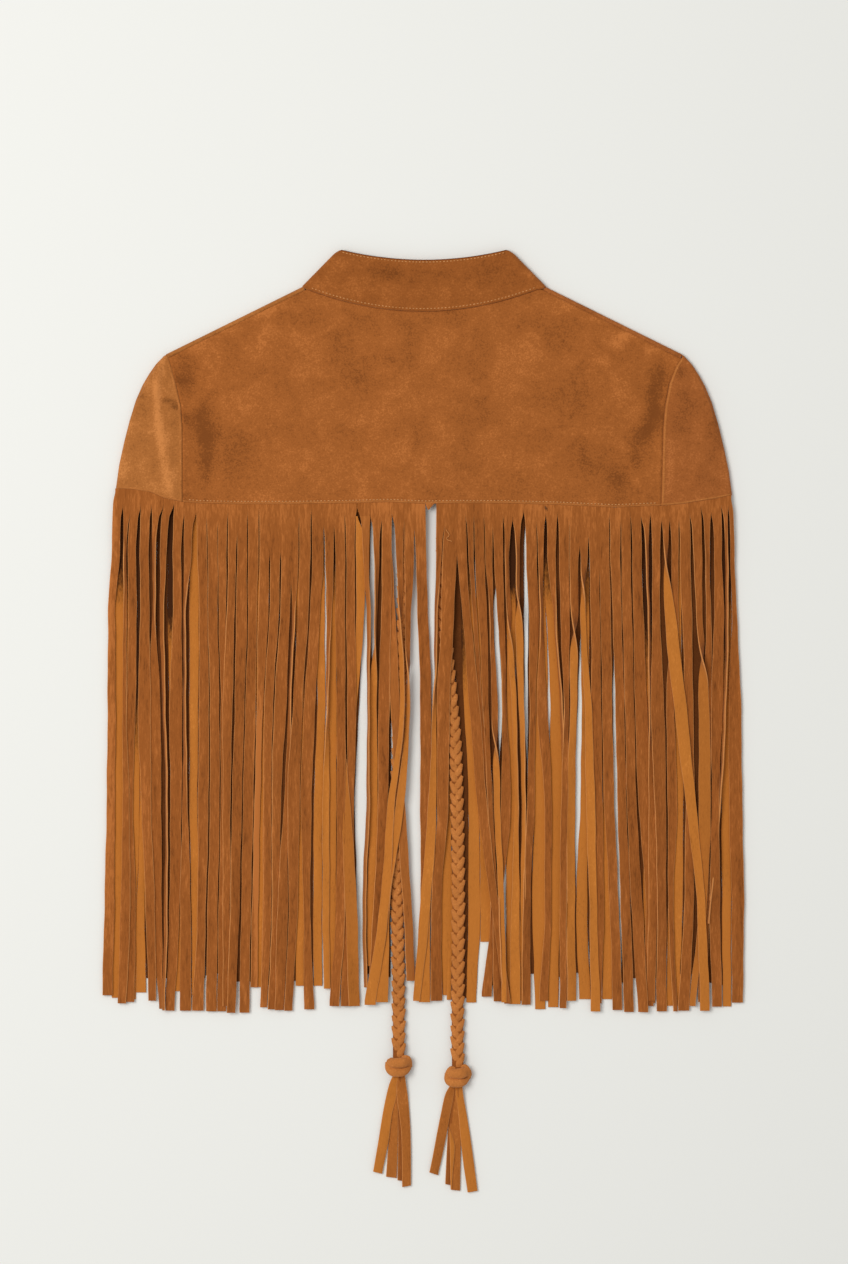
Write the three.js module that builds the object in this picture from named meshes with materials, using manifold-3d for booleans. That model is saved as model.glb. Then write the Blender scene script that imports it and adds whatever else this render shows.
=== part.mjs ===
// Suede fringe cape, laid face down: a collar, a back yoke, two sleeve caps, two fronts, four fringes
// and two neck ties. Millimetres, +Z up. The table is z = 0, +Y runs from the hem towards the collar and
// +X to the wearer's right. Garment sizes are measured from the centre back at the yoke hem; the finished
// group is moved to its own base centre.

import * as THREE from 'three';
import { mergeVertices } from 'three/addons/utils/BufferGeometryUtils.js';
import Module from 'manifold-3d';

// ---- Cloth and how the layers lie ----
const SUEDE = 1.2; // thickness of one layer
const BAND = 2.4; // the collar is two layers sewn together
const SEAM = 0.3; // gap left at every seam
const LAID = 1.6; // underside of the back fringe where it lies on the front fringe
const LOFT = 3.4; // underside of the back yoke above the table
const SETTLE = 90; // length of fringe over which the back layer comes down from LOFT to LAID

// ---- Outline of the body ----
const SHOULDER_SLOPE = 0.4945; // fall of the shoulder for each millimetre outwards
const SHOULDER_REF = { x: 99, y: 161 }; // a point on the shoulder fold
const SHOULDER_STRIP = 3.2; // the front wraps over the shoulder by this much
const SHOULDER_FROM = 93; // the shoulder fold starts here, beside the collar
const SHOULDER_TO = 189.8; // and ends here, above the sleeve cap
const LIP_ROOT = 4; // the wrapped edge leaves the flat front this far inside the fold
const LIP_CLEAR = 2; // the front's corner lies this far below the top of the sleeve cap
const SLEEVE_TOP = 112.5; // top of the sleeve cap
const FOLD_ROOM = 3.2; // least width of the sleeve cap at its top

// Outer fold of the sleeve cap, the same on both sides.
const SLEEVE_FOLD = [
  { y: 0, x: 231.8 },
  { y: 20, x: 229.4 },
  { y: 40, x: 225.6 },
  { y: 58, x: 221.6 },
  { y: 76, x: 216.4 },
  { y: 89, x: 211.0 },
  { y: 98, x: 206.2 },
  { y: 107, x: 200.5 },
  { y: 113, x: 195.0 },
];

// Seam between the yoke and each sleeve cap.
const SLEEVE_SEAM = [
  { y: 0, left: 180.8, right: 177.6 },
  { y: 58, left: 181.0, right: 179.0 },
  { y: 75, left: 182.2, right: 180.4 },
  { y: 91.5, left: 186.0, right: 183.6 },
  { y: 103, left: 189.3, right: 188.6 },
  { y: 113, left: 192.2, right: 194.6 },
];

// Yoke hem, where the fringe is set in: its height at distances from the middle.
const HEM = [
  { x: 0, left: 2.2, right: 2.2 },
  { x: 28, left: 3.5, right: 2.6 },
  { x: 60, left: 2.6, right: 2.6 },
  { x: 100, left: 2.0, right: 1.5 },
  { x: 143, left: 2.0, right: -0.5 },
  { x: 168, left: 2.6, right: 0.6 },
  { x: 181, left: 3.7, right: 1.0 },
  { x: 194, left: 6.2, right: 2.2 },
  { x: 205, left: 11.0, right: 4.0 },
  { x: 217, left: 13.0, right: 5.8 },
  { x: 232, left: 13.9, right: 9.0 },
];

// ---- Collar ----
const NECK_X = 90; // half width of the neck at the shoulder
const NECK_Y = 165.5; // height of the neck point
const FRONT_NECK_DROP = 75; // how far the front neckline falls below the neck point
const BACK_NECK = { low: 146.5, rise: 18, shift: -1 }; // curve of the back neck seam
const COLLAR_TOP = { half: 64, y: 193, dip: 8 }; // top edge of the back collar
const COLLAR_FOLD = { neckX: 91, neckY: 166.4, topX: 64.5, topY: 192.6 }; // ends of the collar's side fold
const COLLAR_FRONT_DROP = 71; // fall of the collar's top edge towards the centre front
const FRONT_EDGE = 24.1; // the centre front edges lie this far from the middle

// ---- Ties ----
const TIE_WIDTH = 9.5;
const TIE_THICK = 5.2;
const TIE_SIDES = 10;
const TIE_STEPS = 26;
const TIE_LOW = TIE_THICK / 2 + 0.05; // centre of a tie that lies on the table
const TIE_RISING = TIE_LOW + 0.5; // and where it starts to rise
const TIE_AT_KNOT = 4.4; // and where it enters its knot
const BRIDGE_YOKE = 30; // the yoke comes down from the ties over this width
const BRIDGE_FRINGE = 16; // and the fringe over this width
const BRIDGE_TOP = { from: 112, to: 150 }; // the rise over the ties dies out up to the collar

// Routes of the two ties, from the collar's front end down to the knot.
const TIE_ROUTE = {
  left: [
    [-19.0, 108, TIE_LOW],
    [-19.0, 90, TIE_LOW],
    [-17.6, 60, TIE_LOW],
    [-16.0, 30, TIE_LOW],
    [-15.0, 0, TIE_LOW],
    [-15.0, -40, TIE_LOW],
    [-15.4, -75, TIE_LOW],
    [-16.6, -115, TIE_LOW],
    [-18.4, -160, TIE_LOW],
    [-20.0, -210, TIE_LOW],
    [-20.6, -265, TIE_LOW],
    [-19.8, -318, TIE_LOW],
    [-19.2, -350, TIE_LOW],
    [-19.0, -380, TIE_LOW + 0.1],
    [-19.0, -396, TIE_RISING],
    [-19.0, -409.7, TIE_AT_KNOT],
  ],
  right: [
    [19.0, 108, TIE_LOW],
    [19.0, 90, TIE_LOW],
    [17.4, 60, TIE_LOW],
    [15.6, 30, TIE_LOW],
    [14.6, 0, TIE_LOW],
    [14.2, -40, TIE_LOW],
    [14.6, -70, TIE_LOW],
    [16.8, -107, TIE_LOW],
    [20.4, -145, TIE_LOW],
    [23.2, -178, TIE_LOW],
    [24.6, -220, TIE_LOW],
    [25.4, -260, TIE_LOW],
    [25.7, -300, TIE_LOW],
    [25.4, -345, TIE_LOW],
    [25.1, -385, TIE_LOW + 0.1],
    [25.1, -403, TIE_RISING],
    [25.2, -416.7, TIE_AT_KNOT],
  ],
};

const KNOT = { halfWidth: 9.5, halfLength: 8.7, halfHeight: 6, mouth: 5.6, shoulder: 4.2 };
const KNOT_SIDES = 20;

// Each tassel is four strips of suede: where each strip ends, half the width of it that lies clear of its
// neighbours, how far its cut end slopes, and where the split to the next strip starts.
const TASSEL = {
  left: {
    root: { x: -19.6, half: 5.9 },
    strips: [
      { x: -34.5, y: -498.8, half: 3.6, tilt: -1.4, splitX: -21.2, splitY: -441 },
      { x: -24.6, y: -502.6, half: 3.6, tilt: -1.3, splitX: -18.9, splitY: -462 },
      { x: -18.5, y: -505.2, half: 1.5, tilt: -0.6, splitX: -17.0, splitY: -478 },
      { x: -13.0, y: -509.0, half: 3.4, tilt: 0.9 },
    ],
  },
  right: {
    root: { x: 23.6, half: 5.9 },
    strips: [
      { x: 6.4, y: -499.4, half: 3.8, tilt: -1.9, splitX: 20.4, splitY: -449 },
      { x: 17.3, y: -508.4, half: 1.5, tilt: -0.8, splitX: 19.6, splitY: -482 },
      { x: 23.4, y: -512.4, half: 3.6, tilt: -0.8, splitX: 26.6, splitY: -460 },
      { x: 36.2, y: -513.4, half: 3.8, tilt: 0.9 },
    ],
  },
};

// ---- Fringe ----
// Ends of the back fringe, at distances along the hem.
const BACK_ENDS = [
  { x: -242, y: -366 },
  { x: -228, y: -374 },
  { x: -100, y: -377 },
  { x: 0, y: -374 },
  { x: 110, y: -377 },
  { x: 240, y: -371 },
];
const FRONT_SHORTER = 9; // the front fringe ends this much higher
const FRINGE_ROWS = 9;
const FRINGE_LOW = -376; // height of the fringe's ends on average

// Outer edges of the fringe, spreading towards the ends.
const FRINGE_EDGE = [
  { y: 14, left: 232.2, right: 230.8 },
  { y: -40, left: 235.5, right: 233.0 },
  { y: -115, left: 237.0, right: 236.0 },
  { y: -220, left: 238.5, right: 239.0 },
  { y: -325, left: 240.2, right: 240.0 },
  { y: -378, left: 241.5, right: 239.2 },
];

// Slit at the centre back, where the two back fringes meet.
const CENTRE_SLIT = [
  { y: 6, left: 1.0, right: 9.2 },
  { y: -40, left: 2.0, right: 8.4 },
  { y: -77, left: 3.0, right: 7.6 },
  { y: -125, left: 5.0, right: 5.5 },
  { y: -378, left: 5.0, right: 5.5 },
];

// Long partings that show the table between the strands: lens-shaped openings in both layers.
const PARTINGS = [
  { x: -46.5, lean: 0.5, top: -78, bottom: -368, width: 8.2 },
  { x: -7.6, lean: -0.4, top: -56, bottom: -342, width: 8.4 },
  { x: 56.0, lean: 2.5, top: -62, bottom: -176, width: 3.6 },
  { x: 116.0, lean: -1.5, top: -124, bottom: -300, width: 3.2 },
];
const PARTING_POINTS = 8;
const PARTING_FULLNESS = 0.75; // below 1 the lens stays wide for more of its length

// Soft folds of the back layer, each from one point to another: a ridge is high, a hollow is low.
const FOLDS = [
  { fromX: -204, fromY: 92, toX: -188, toY: 10, wide: 14, high: 1.6 },
  { fromX: -171, fromY: 84, toX: -167, toY: 6, wide: 13, high: -1.2 },
  { fromX: 181, fromY: 104, toX: 140, toY: 14, wide: 14, high: -1.1 },
  { fromX: 206, fromY: 84, toX: 202, toY: 14, wide: 13, high: 1.2 },
];

const COLOURS = { back: 0x9c5c2b, collar: 0x96562a, inside: 0xb4702f, tie: 0xaa6a34 };

// ---- Small tools ----
const wasm = await Module();
wasm.setup();

const mix = (a, b, t) => a + (b - a) * t;
const ease = (t) => {
  const s = THREE.MathUtils.clamp(t, 0, 1);
  return s * s * (3 - 2 * s);
};
const bell = (t) => (t >= 1 ? 0 : Math.cos((t * Math.PI) / 2) ** 2);
const steps = (from, to, count) => Array.from({ length: count + 1 }, (_, i) => mix(from, to, i / count));

/** Reads column `out` of a table at `value` of column `key`, in straight lines between its rows. */
function lookUp(table, key, out, value) {
  const rising = table[0][key] < table[table.length - 1][key];
  const rows = rising ? table : [...table].reverse();
  const next = rows.findIndex((row) => row[key] >= value);
  if (next === 0) return rows[0][out];
  if (next < 0) return rows[rows.length - 1][out];
  const a = rows[next - 1];
  const b = rows[next];
  return mix(a[out], b[out], (value - a[key]) / (b[key] - a[key]));
}

/** A closed body from points and triangles, turned so that its faces point out. */
function closedBody(points, triangles) {
  let volume = 0;
  for (let i = 0; i < triangles.length; i += 3) {
    const [a, b, c] = [0, 1, 2].map((k) => new THREE.Vector3(...points[triangles[i + k]]));
    volume += a.dot(b.cross(c));
  }
  const index = volume > 0 ? triangles : triangles.toReversed();
  const body = new THREE.BufferGeometry();
  body.setAttribute('position', new THREE.Float32BufferAttribute(points.flat(), 3));
  body.setIndex(index);
  body.computeVertexNormals();
  return body;
}

/** A wall of cloth between two grids of points, closed round its four edges. */
function wall(outside, inside) {
  const rows = outside.length;
  const columns = outside[0].length;
  const points = [...outside.flat(), ...inside.flat()];
  const at = (side, i, j) => side * rows * columns + i * columns + j;
  const triangles = [];
  const quad = (a, b, c, d) => triangles.push(a, b, c, a, c, d);
  for (let i = 0; i < rows - 1; i++) {
    for (let j = 0; j < columns - 1; j++) {
      quad(at(0, i, j), at(0, i, j + 1), at(0, i + 1, j + 1), at(0, i + 1, j));
      quad(at(1, i, j), at(1, i + 1, j), at(1, i + 1, j + 1), at(1, i, j + 1));
    }
    quad(at(0, i, 0), at(0, i + 1, 0), at(1, i + 1, 0), at(1, i, 0));
    const last = columns - 1;
    quad(at(0, i, last), at(1, i, last), at(1, i + 1, last), at(0, i + 1, last));
  }
  for (let j = 0; j < columns - 1; j++) {
    quad(at(0, 0, j), at(1, 0, j), at(1, 0, j + 1), at(0, 0, j + 1));
    quad(at(0, rows - 1, j), at(0, rows - 1, j + 1), at(1, rows - 1, j + 1), at(1, rows - 1, j));
  }
  return closedBody(points, triangles);
}

/** A layer of suede over a grid of [x, y], lying at the height of the back layer. */
function backLayer(grid) {
  const under = grid.map((row) => row.map(([x, y]) => [x, y, lift(x, y)]));
  const over = under.map((row) => row.map(([x, y, z]) => [x, y, z + SUEDE]));
  return wall(over, under);
}

/** A flat piece of the given outline, from the table up. */
function flatPiece(outline, thickness) {
  const shape = new THREE.Shape(outline.map(([x, y]) => new THREE.Vector2(x, y)));
  return new THREE.ExtrudeGeometry(shape, { depth: thickness, bevelEnabled: false });
}

function toSolid(geometry) {
  const bare = geometry.clone();
  bare.deleteAttribute('normal');
  bare.deleteAttribute('uv');
  const merged = mergeVertices(bare, 1e-4);
  return new wasm.Manifold(
    new wasm.Mesh({
      numProp: 3,
      vertProperties: new Float32Array(merged.attributes.position.array),
      triVerts: new Uint32Array(merged.index.array),
    }),
  );
}

function toGeometry(solid) {
  const { vertProperties, triVerts } = solid.getMesh();
  const body = new THREE.BufferGeometry();
  body.setAttribute('position', new THREE.BufferAttribute(vertProperties, 3));
  body.setIndex(new THREE.BufferAttribute(triVerts, 1));
  body.computeVertexNormals();
  return body;
}

// ---- Lines of the garment ----
const SIDES = { left: -1, right: 1 };
const SLEEVE_ROWS = 9; // rows of points up a sleeve cap and the pieces beside it
const FOLD_STEPS = 6; // flats round a fold
const KNOT_PROFILE = { bevel: 0.87, flat: 0.5, high: 1.35 }; // shape of a knot, as shares of its sizes

const hemY = (x) => lookUp(HEM, 'x', x < 0 ? 'left' : 'right', Math.abs(x));
const hemBetween = (from, to) => HEM.map((row) => row.x).filter((x) => x > from && x < to);
const shoulderY = (x) => SHOULDER_REF.y - SHOULDER_SLOPE * (Math.abs(x) - SHOULDER_REF.x);
const backNeckY = (x) => BACK_NECK.low + BACK_NECK.rise * ((x - BACK_NECK.shift) / NECK_X) ** 2;
const collarTopY = (x) => COLLAR_TOP.y - COLLAR_TOP.dip * (1 - (x / COLLAR_TOP.half) ** 2);
const sleeveFoldX = (y) => lookUp(SLEEVE_FOLD, 'y', 'x', y);
const sleeveSeamX = (side, y) => Math.min(lookUp(SLEEVE_SEAM, 'y', side, y), sleeveFoldX(y) - FOLD_ROOM);

/** The seam of a sleeve cap, in points from the hem up that the yoke, the cap and the front share. */
const seamLine = (side) =>
  steps(0, 1, SLEEVE_ROWS).map((t) => {
    const x = sleeveSeamX(side, t * SLEEVE_TOP);
    return { x, y: mix(hemY(SIDES[side] * x), SLEEVE_TOP, t) };
  });

/** Distance from the middle at which a tie lies, at a height y on the garment. */
function tieX(side, y) {
  const rows = TIE_ROUTE[side].map(([x, along]) => ({ x, y: along }));
  return lookUp(rows, 'y', 'x', y);
}

/** How far the soft folds raise or lower the back layer at a point. */
function foldHeight(x, y) {
  return FOLDS.reduce((sum, { fromX, fromY, toX, toY, wide, high }) => {
    const run = new THREE.Vector2(toX - fromX, toY - fromY);
    const at = new THREE.Vector2(x - fromX, y - fromY);
    const along = THREE.MathUtils.clamp(at.dot(run) / run.lengthSq(), 0, 1);
    return sum + high * bell(at.distanceTo(run.multiplyScalar(along)) / (2 * wide));
  }, 0);
}

/** Height of the underside of the back layer: it lies on the front and rises gently over the two ties. */
function lift(x, y) {
  const base = mix(LAID, LOFT, ease((y + SETTLE) / SETTLE)) + foldHeight(x, y);
  const [left, right] = [tieX('left', y), tieX('right', y)];
  const beside = Math.max(left - x, x - right, 0);
  const nearest = Math.min(Math.abs(x - left), Math.abs(x - right));
  const share = mix(bell(nearest / BRIDGE_FRINGE), bell(beside / BRIDGE_YOKE), ease(y / SETTLE + 1));
  const fade = 1 - ease((y - BRIDGE_TOP.from) / (BRIDGE_TOP.to - BRIDGE_TOP.from));
  return base + (TIE_THICK + SEAM - base) * share * fade;
}

// ---- Back yoke: one piece from sleeve seam to sleeve seam ----
// Columns of points across half the yoke, besides those of the hem.
const YOKE_COLUMNS = [8, 18, 38, 50, 73, 86, 120, 155];
const LEAST_COLUMN = 5; // no column of the hem is taken closer than this to a sleeve seam

function backYoke() {
  const half = (side) => {
    const edge = seamLine(side)[0].x - SEAM;
    const xs = [...hemBetween(0, edge - LEAST_COLUMN), ...YOKE_COLUMNS, edge].sort((a, b) => a - b);
    return xs.map((x) => (SIDES[side] * x) / edge);
  };
  const across = [...half('left').reverse(), 0, ...half('right')];
  const shoulderDrop = (SHOULDER_STRIP + SEAM) * Math.hypot(1, SHOULDER_SLOPE);
  const topY = (x) => Math.min(backNeckY(x) - SEAM, shoulderY(x) - shoulderDrop);
  const seams = { left: seamLine('left'), right: seamLine('right') };
  const grid = seams.left.map((_, i) =>
    across.map((u) => {
      const side = u < 0 ? 'left' : 'right';
      const seam = seams[side];
      const [foot, head] = [seam[0], seam[SLEEVE_ROWS]];
      const corner = topY(head.x); // where the shoulder seam meets the sleeve seam
      const y = Math.min(seam[i].y, corner);
      const edge = lookUp(seam, 'y', 'x', y) - SEAM;
      return [u * edge, mix(hemY(u * foot.x), topY(u * head.x), (y - foot.y) / (corner - foot.y))];
    }),
  );
  return backLayer(grid);
}

// ---- Sleeve caps: each wraps from the back over the outer fold to the front ----
function sleeveCap(side) {
  const sign = SIDES[side];
  const outer = (LOFT + SUEDE) / 2; // radius of the fold outside
  const [from, to] = [sleeveSeamX(side, 0), sleeveFoldX(0) - outer];
  const kinks = hemBetween(from + SEAM, to).map((x) => (x - from) / (to - from));
  const path = (y, offset) => {
    const seam = sleeveSeamX(side, y);
    const centre = sleeveFoldX(y) - outer;
    const radius = outer - offset;
    const flat = [0, ...kinks].map((share) => mix(seam, centre, share));
    const front = flat.map((x) => [x, offset]);
    const round = steps(0, Math.PI, FOLD_STEPS).map((a) => [
      centre + radius * Math.sin(a),
      outer - radius * Math.cos(a),
    ]);
    const back = flat.toReversed().map((x) => [x, lift(sign * x, y) + SUEDE - offset]);
    return [...front, ...round, ...back];
  };
  const ring = (t, offset) =>
    path(t * SLEEVE_TOP, offset).map(([x, z]) => [sign * x, mix(hemY(sign * x), SLEEVE_TOP, t), z]);
  const rows = steps(0, 1, SLEEVE_ROWS);
  return wall(
    rows.map((t) => ring(t, 0)),
    rows.map((t) => ring(t, SUEDE)),
  );
}

// ---- Fronts: flat on the table, each wrapping over the shoulder to meet the yoke ----
const NECKLINE_STEPS = 10;
const NECKLINE_TO = Math.PI * 0.45; // angle at which the neckline reaches the wrapped shoulder edge
const LIP_STATIONS = 8;

/** Outline of a front in plan, on the +X side: the hem, the sleeve seam, the shoulder and the neckline. */
function frontOutline(side, shoulder) {
  const line = seamLine(side);
  const seamTop = SLEEVE_TOP - LIP_CLEAR;
  const corner = { x: lookUp(line, 'y', 'x', seamTop), y: seamTop };
  const seam = [...line.slice(0, -1), corner].map(({ x, y }) => [x - SEAM, y]);
  const hemXs = [FRONT_EDGE, ...hemBetween(FRONT_EDGE, seam[0][0])];
  const hem = hemXs.map((x) => [x, hemY(SIDES[side] * x)]);
  const neckFrom = Math.asin(FRONT_EDGE / (NECK_X + SEAM));
  const neckline = steps(NECKLINE_TO, neckFrom, NECKLINE_STEPS).map((a) => [
    (NECK_X + SEAM) * Math.sin(a),
    NECK_Y - (FRONT_NECK_DROP + SEAM) * Math.cos(a),
  ]);
  return { outline: [...hem, ...seam, ...shoulder, ...neckline], shoulderAt: hem.length + seam.length };
}

function frontPanel(side) {
  const slope = Math.hypot(1, SHOULDER_SLOPE);
  const inside = (x, by) => [x - (SHOULDER_SLOPE / slope) * by, shoulderY(x) - by / slope];
  const stations = steps(SHOULDER_TO, SHOULDER_FROM, LIP_STATIONS);
  const { outline, shoulderAt } = frontOutline(
    side,
    stations.map((x) => inside(x, LIP_ROOT)),
  );

  // The wrapped edge, as rows of points for its outer and its inner face.
  const outer = (LOFT + SUEDE) / 2;
  const section = (offset) => [
    [LIP_ROOT, offset],
    ...steps(0, Math.PI, FOLD_STEPS).map((a) => [
      outer - (outer - offset) * Math.sin(a),
      outer - (outer - offset) * Math.cos(a),
    ]),
    [SHOULDER_STRIP, LOFT + SUEDE - offset],
  ];
  const face = (offset) => stations.map((x) => section(offset).map(([by, z]) => [...inside(x, by), z]));
  const [skin, reverse] = [face(0), face(SUEDE)];

  const points = [];
  const triangles = [];
  const add = (...corners) => {
    const first = points.push(...corners) - corners.length;
    for (let k = 2; k < corners.length; k++) triangles.push(first, first + k - 1, first + k);
  };
  const at = (i, z) => [...outline[i % outline.length], z];
  const flat = THREE.ShapeUtils.triangulateShape(
    outline.map(([x, y]) => new THREE.Vector2(x, y)),
    [],
  );
  for (const [a, b, c] of flat) {
    add(at(a, SUEDE), at(b, SUEDE), at(c, SUEDE));
    add(at(a, 0), at(c, 0), at(b, 0));
  }
  outline.forEach((_, i) => {
    if (i >= shoulderAt && i < shoulderAt + LIP_STATIONS) return;
    add(at(i, 0), at(i + 1, 0), at(i + 1, SUEDE), at(i, SUEDE));
  });
  const last = skin[0].length - 1;
  for (let i = 0; i < LIP_STATIONS; i++) {
    for (let k = 0; k < last; k++) {
      add(skin[i][k], skin[i + 1][k], skin[i + 1][k + 1], skin[i][k + 1]);
      add(reverse[i][k], reverse[i][k + 1], reverse[i + 1][k + 1], reverse[i + 1][k]);
    }
    add(skin[i][last], skin[i + 1][last], reverse[i + 1][last], reverse[i][last]);
  }
  for (let k = 0; k < last; k++) {
    const end = LIP_STATIONS;
    add(skin[0][k], skin[0][k + 1], reverse[0][k + 1], reverse[0][k]);
    add(skin[end][k + 1], skin[end][k], reverse[end][k], reverse[end][k + 1]);
  }
  return closedBody(
    points.map(([x, y, z]) => [SIDES[side] * x, y, z]),
    triangles,
  );
}

// ---- Collar: one double band, from front end to front end, folded at the two sides of the neck ----
const COLLAR_FRONT_STEPS = 9;
const COLLAR_FRONT_SHARE = 0.86; // share of each front quarter that lies flat, up to the side fold
const COLLAR_BACK_STEPS = 14;

function collar() {
  const outer = (LOFT + BAND) / 2; // radius of the side fold outside
  const along = new THREE.Vector2(COLLAR_TOP.half - NECK_X, COLLAR_TOP.y - NECK_Y).normalize();
  const out = new THREE.Vector2(along.y, -along.x); // away from the neck, square to the fold
  const foldNeck = new THREE.Vector2(COLLAR_FOLD.neckX, COLLAR_FOLD.neckY);
  const foldTop = new THREE.Vector2(COLLAR_FOLD.topX, COLLAR_FOLD.topY);

  // Each station gives the neck edge and the top edge as [x, y, z], for one face of the band.
  const fold = (sign, offset) =>
    steps(0, Math.PI, FOLD_STEPS).map((a) => {
      const radius = outer - offset;
      const reach = radius * Math.sin(a) - outer;
      const z = outer - radius * Math.cos(a);
      return [foldNeck, foldTop].map((p) => [sign * (p.x + out.x * reach), p.y + out.y * reach, z]);
    });
  const front = (sign, offset) =>
    steps(0, COLLAR_FRONT_SHARE, COLLAR_FRONT_STEPS).map((t) => {
      const neckAt = mix(Math.asin(FRONT_EDGE / NECK_X), Math.PI / 2, t);
      const topAt = mix(Math.asin(FRONT_EDGE / COLLAR_TOP.half), Math.PI / 2, t);
      return [
        [sign * NECK_X * Math.sin(neckAt), NECK_Y - FRONT_NECK_DROP * Math.cos(neckAt), offset],
        [
          sign * COLLAR_TOP.half * Math.sin(topAt),
          COLLAR_TOP.y - COLLAR_FRONT_DROP * Math.cos(topAt),
          offset,
        ],
      ];
    });
  const back = (offset) =>
    steps(-1, 1, COLLAR_BACK_STEPS + 2)
      .slice(1, -1)
      .map((u) => {
        const neckX = u * (NECK_X - outer);
        const topX = u * (COLLAR_TOP.half - outer);
        const z = LOFT + BAND - offset;
        return [
          [neckX, backNeckY(neckX), z],
          [topX, collarTopY(topX), z],
        ];
      });
  const face = (offset) => [
    ...front(-1, offset),
    ...fold(-1, offset),
    ...back(offset),
    ...fold(1, offset).reverse(),
    ...front(1, offset).reverse(),
  ];
  return wall(face(0), face(BAND));
}

// ---- Fringe: plain walls of the fringe's reach, with its long partings ----
const partedBy = (solid) =>
  PARTINGS.reduce((left, p) => {
    const half = (t) => (p.width / 2) * Math.sin(Math.PI * t) ** PARTING_FULLNESS;
    const ys = steps(0, 1, PARTING_POINTS);
    const centre = (t) => p.x + p.lean * (t - 0.5);
    const rightSide = ys.map((t) => [centre(t) + half(t), mix(p.top, p.bottom, t)]);
    const leftSide = ys.slice(1, -1).map((t) => [centre(t) - half(t), mix(p.top, p.bottom, t)]);
    const lens = flatPiece([...rightSide, ...leftSide.reverse()], 4 * LOFT);
    lens.translate(0, 0, -LOFT);
    return left.subtract(toSolid(lens));
  }, solid);

const fringeEdge = (side, y) => SIDES[side] * lookUp(FRINGE_EDGE, 'y', side, y);
const endY = (x) => lookUp(BACK_ENDS, 'x', 'y', x);
const OVER_TIE = [16, 11, 7, 3.5, 0]; // columns that follow the tie, from its outer side in
const CLEAR_OF_TIE = 20; // further columns, below the points of the hem, start this far from the tie
const LAST_COLUMN = 220; // and end before the fringe's outer edge

function fringeBack(side) {
  const sign = SIDES[side];
  const row = (v) => {
    const y = mix(hemY(0), FRINGE_LOW, v);
    const [outer, inner, tie] = [fringeEdge(side, y), lookUp(CENTRE_SLIT, 'y', side, y), tieX(side, y)];
    const far = hemBetween(Math.abs(tie) + CLEAR_OF_TIE, LAST_COLUMN).reverse();
    const over = OVER_TIE.map((d) => tie + sign * d);
    const near = steps(tie, inner, 3).slice(1);
    const xs = [outer, ...far.map((x) => sign * x), ...over, ...near];
    return xs.map((x) => [x, mix(hemY(x) - SEAM, endY(x), v)]);
  };
  const grid = steps(0, 1, FRINGE_ROWS).map(row);
  return toGeometry(partedBy(toSolid(backLayer(grid))));
}

function fringeFront(side) {
  const sign = SIDES[side];
  const inner = (y) => sign * Math.max(FRONT_EDGE, Math.abs(tieX(side, y)) + TIE_WIDTH / 2 + SEAM);
  const line = (edge) =>
    steps(0, 1, FRINGE_ROWS).map((v) => {
      const x = edge(mix(0, FRINGE_LOW, v));
      return [x, mix(hemY(x) - SEAM, endY(x) + FRONT_SHORTER, v)];
    });
  const down = line((y) => fringeEdge(side, y));
  const up = line(inner).reverse();
  const top = hemBetween(FRONT_EDGE, LAST_COLUMN).map((x) => [sign * x, hemY(sign * x) - SEAM]);
  return toGeometry(partedBy(toSolid(flatPiece([...down, ...up, ...top], SUEDE))));
}

// ---- Ties, knots and tassels ----
function tie(side) {
  const path = new THREE.CatmullRomCurve3(TIE_ROUTE[side].map((p) => new THREE.Vector3(...p)));
  const section = new THREE.Shape(
    Array.from({ length: TIE_SIDES }, (_, i) => {
      const a = (2 * Math.PI * i) / TIE_SIDES;
      return new THREE.Vector2((TIE_THICK / 2) * Math.cos(a), (TIE_WIDTH / 2) * Math.sin(a));
    }),
  );
  return new THREE.ExtrudeGeometry(section, { steps: TIE_STEPS, extrudePath: path });
}

function knot(side) {
  const [x, y] = TIE_ROUTE[side].at(-1);
  const { bevel, flat, high } = KNOT_PROFILE;
  const profile = [
    [0, -KNOT.halfLength],
    [KNOT.mouth, -KNOT.halfLength],
    [KNOT.halfWidth * bevel, -KNOT.shoulder * high],
    [KNOT.halfWidth, -KNOT.shoulder * flat],
    [KNOT.halfWidth, KNOT.shoulder * flat],
    [KNOT.halfWidth * bevel, KNOT.shoulder * high],
    [KNOT.mouth, KNOT.halfLength],
    [0, KNOT.halfLength],
  ].map(([r, along]) => new THREE.Vector2(r, along));
  const body = new THREE.LatheGeometry(profile, KNOT_SIDES);
  body.scale(1, 1, KNOT.halfHeight / KNOT.halfWidth);
  body.translate(x, y - KNOT.halfLength - SEAM, KNOT.halfHeight);
  return body;
}

function tassel(side) {
  const { root, strips } = TASSEL[side];
  const rootY = TIE_ROUTE[side].at(-1)[1] - 2 * (SEAM + KNOT.halfLength);
  const outline = [[root.x - root.half, rootY]];
  for (const { x, y, half, tilt, splitX, splitY } of strips) {
    outline.push([x - half, y - tilt / 2], [x + half, y + tilt / 2]);
    if (splitX !== undefined) outline.push([splitX, splitY]);
  }
  outline.push([root.x + root.half, rootY]);
  return flatPiece(outline, 2 * SUEDE);
}

// ---- The cape ----
const suede = (color) => new THREE.MeshStandardMaterial({ color, roughness: 0.95, metalness: 0 });

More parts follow.
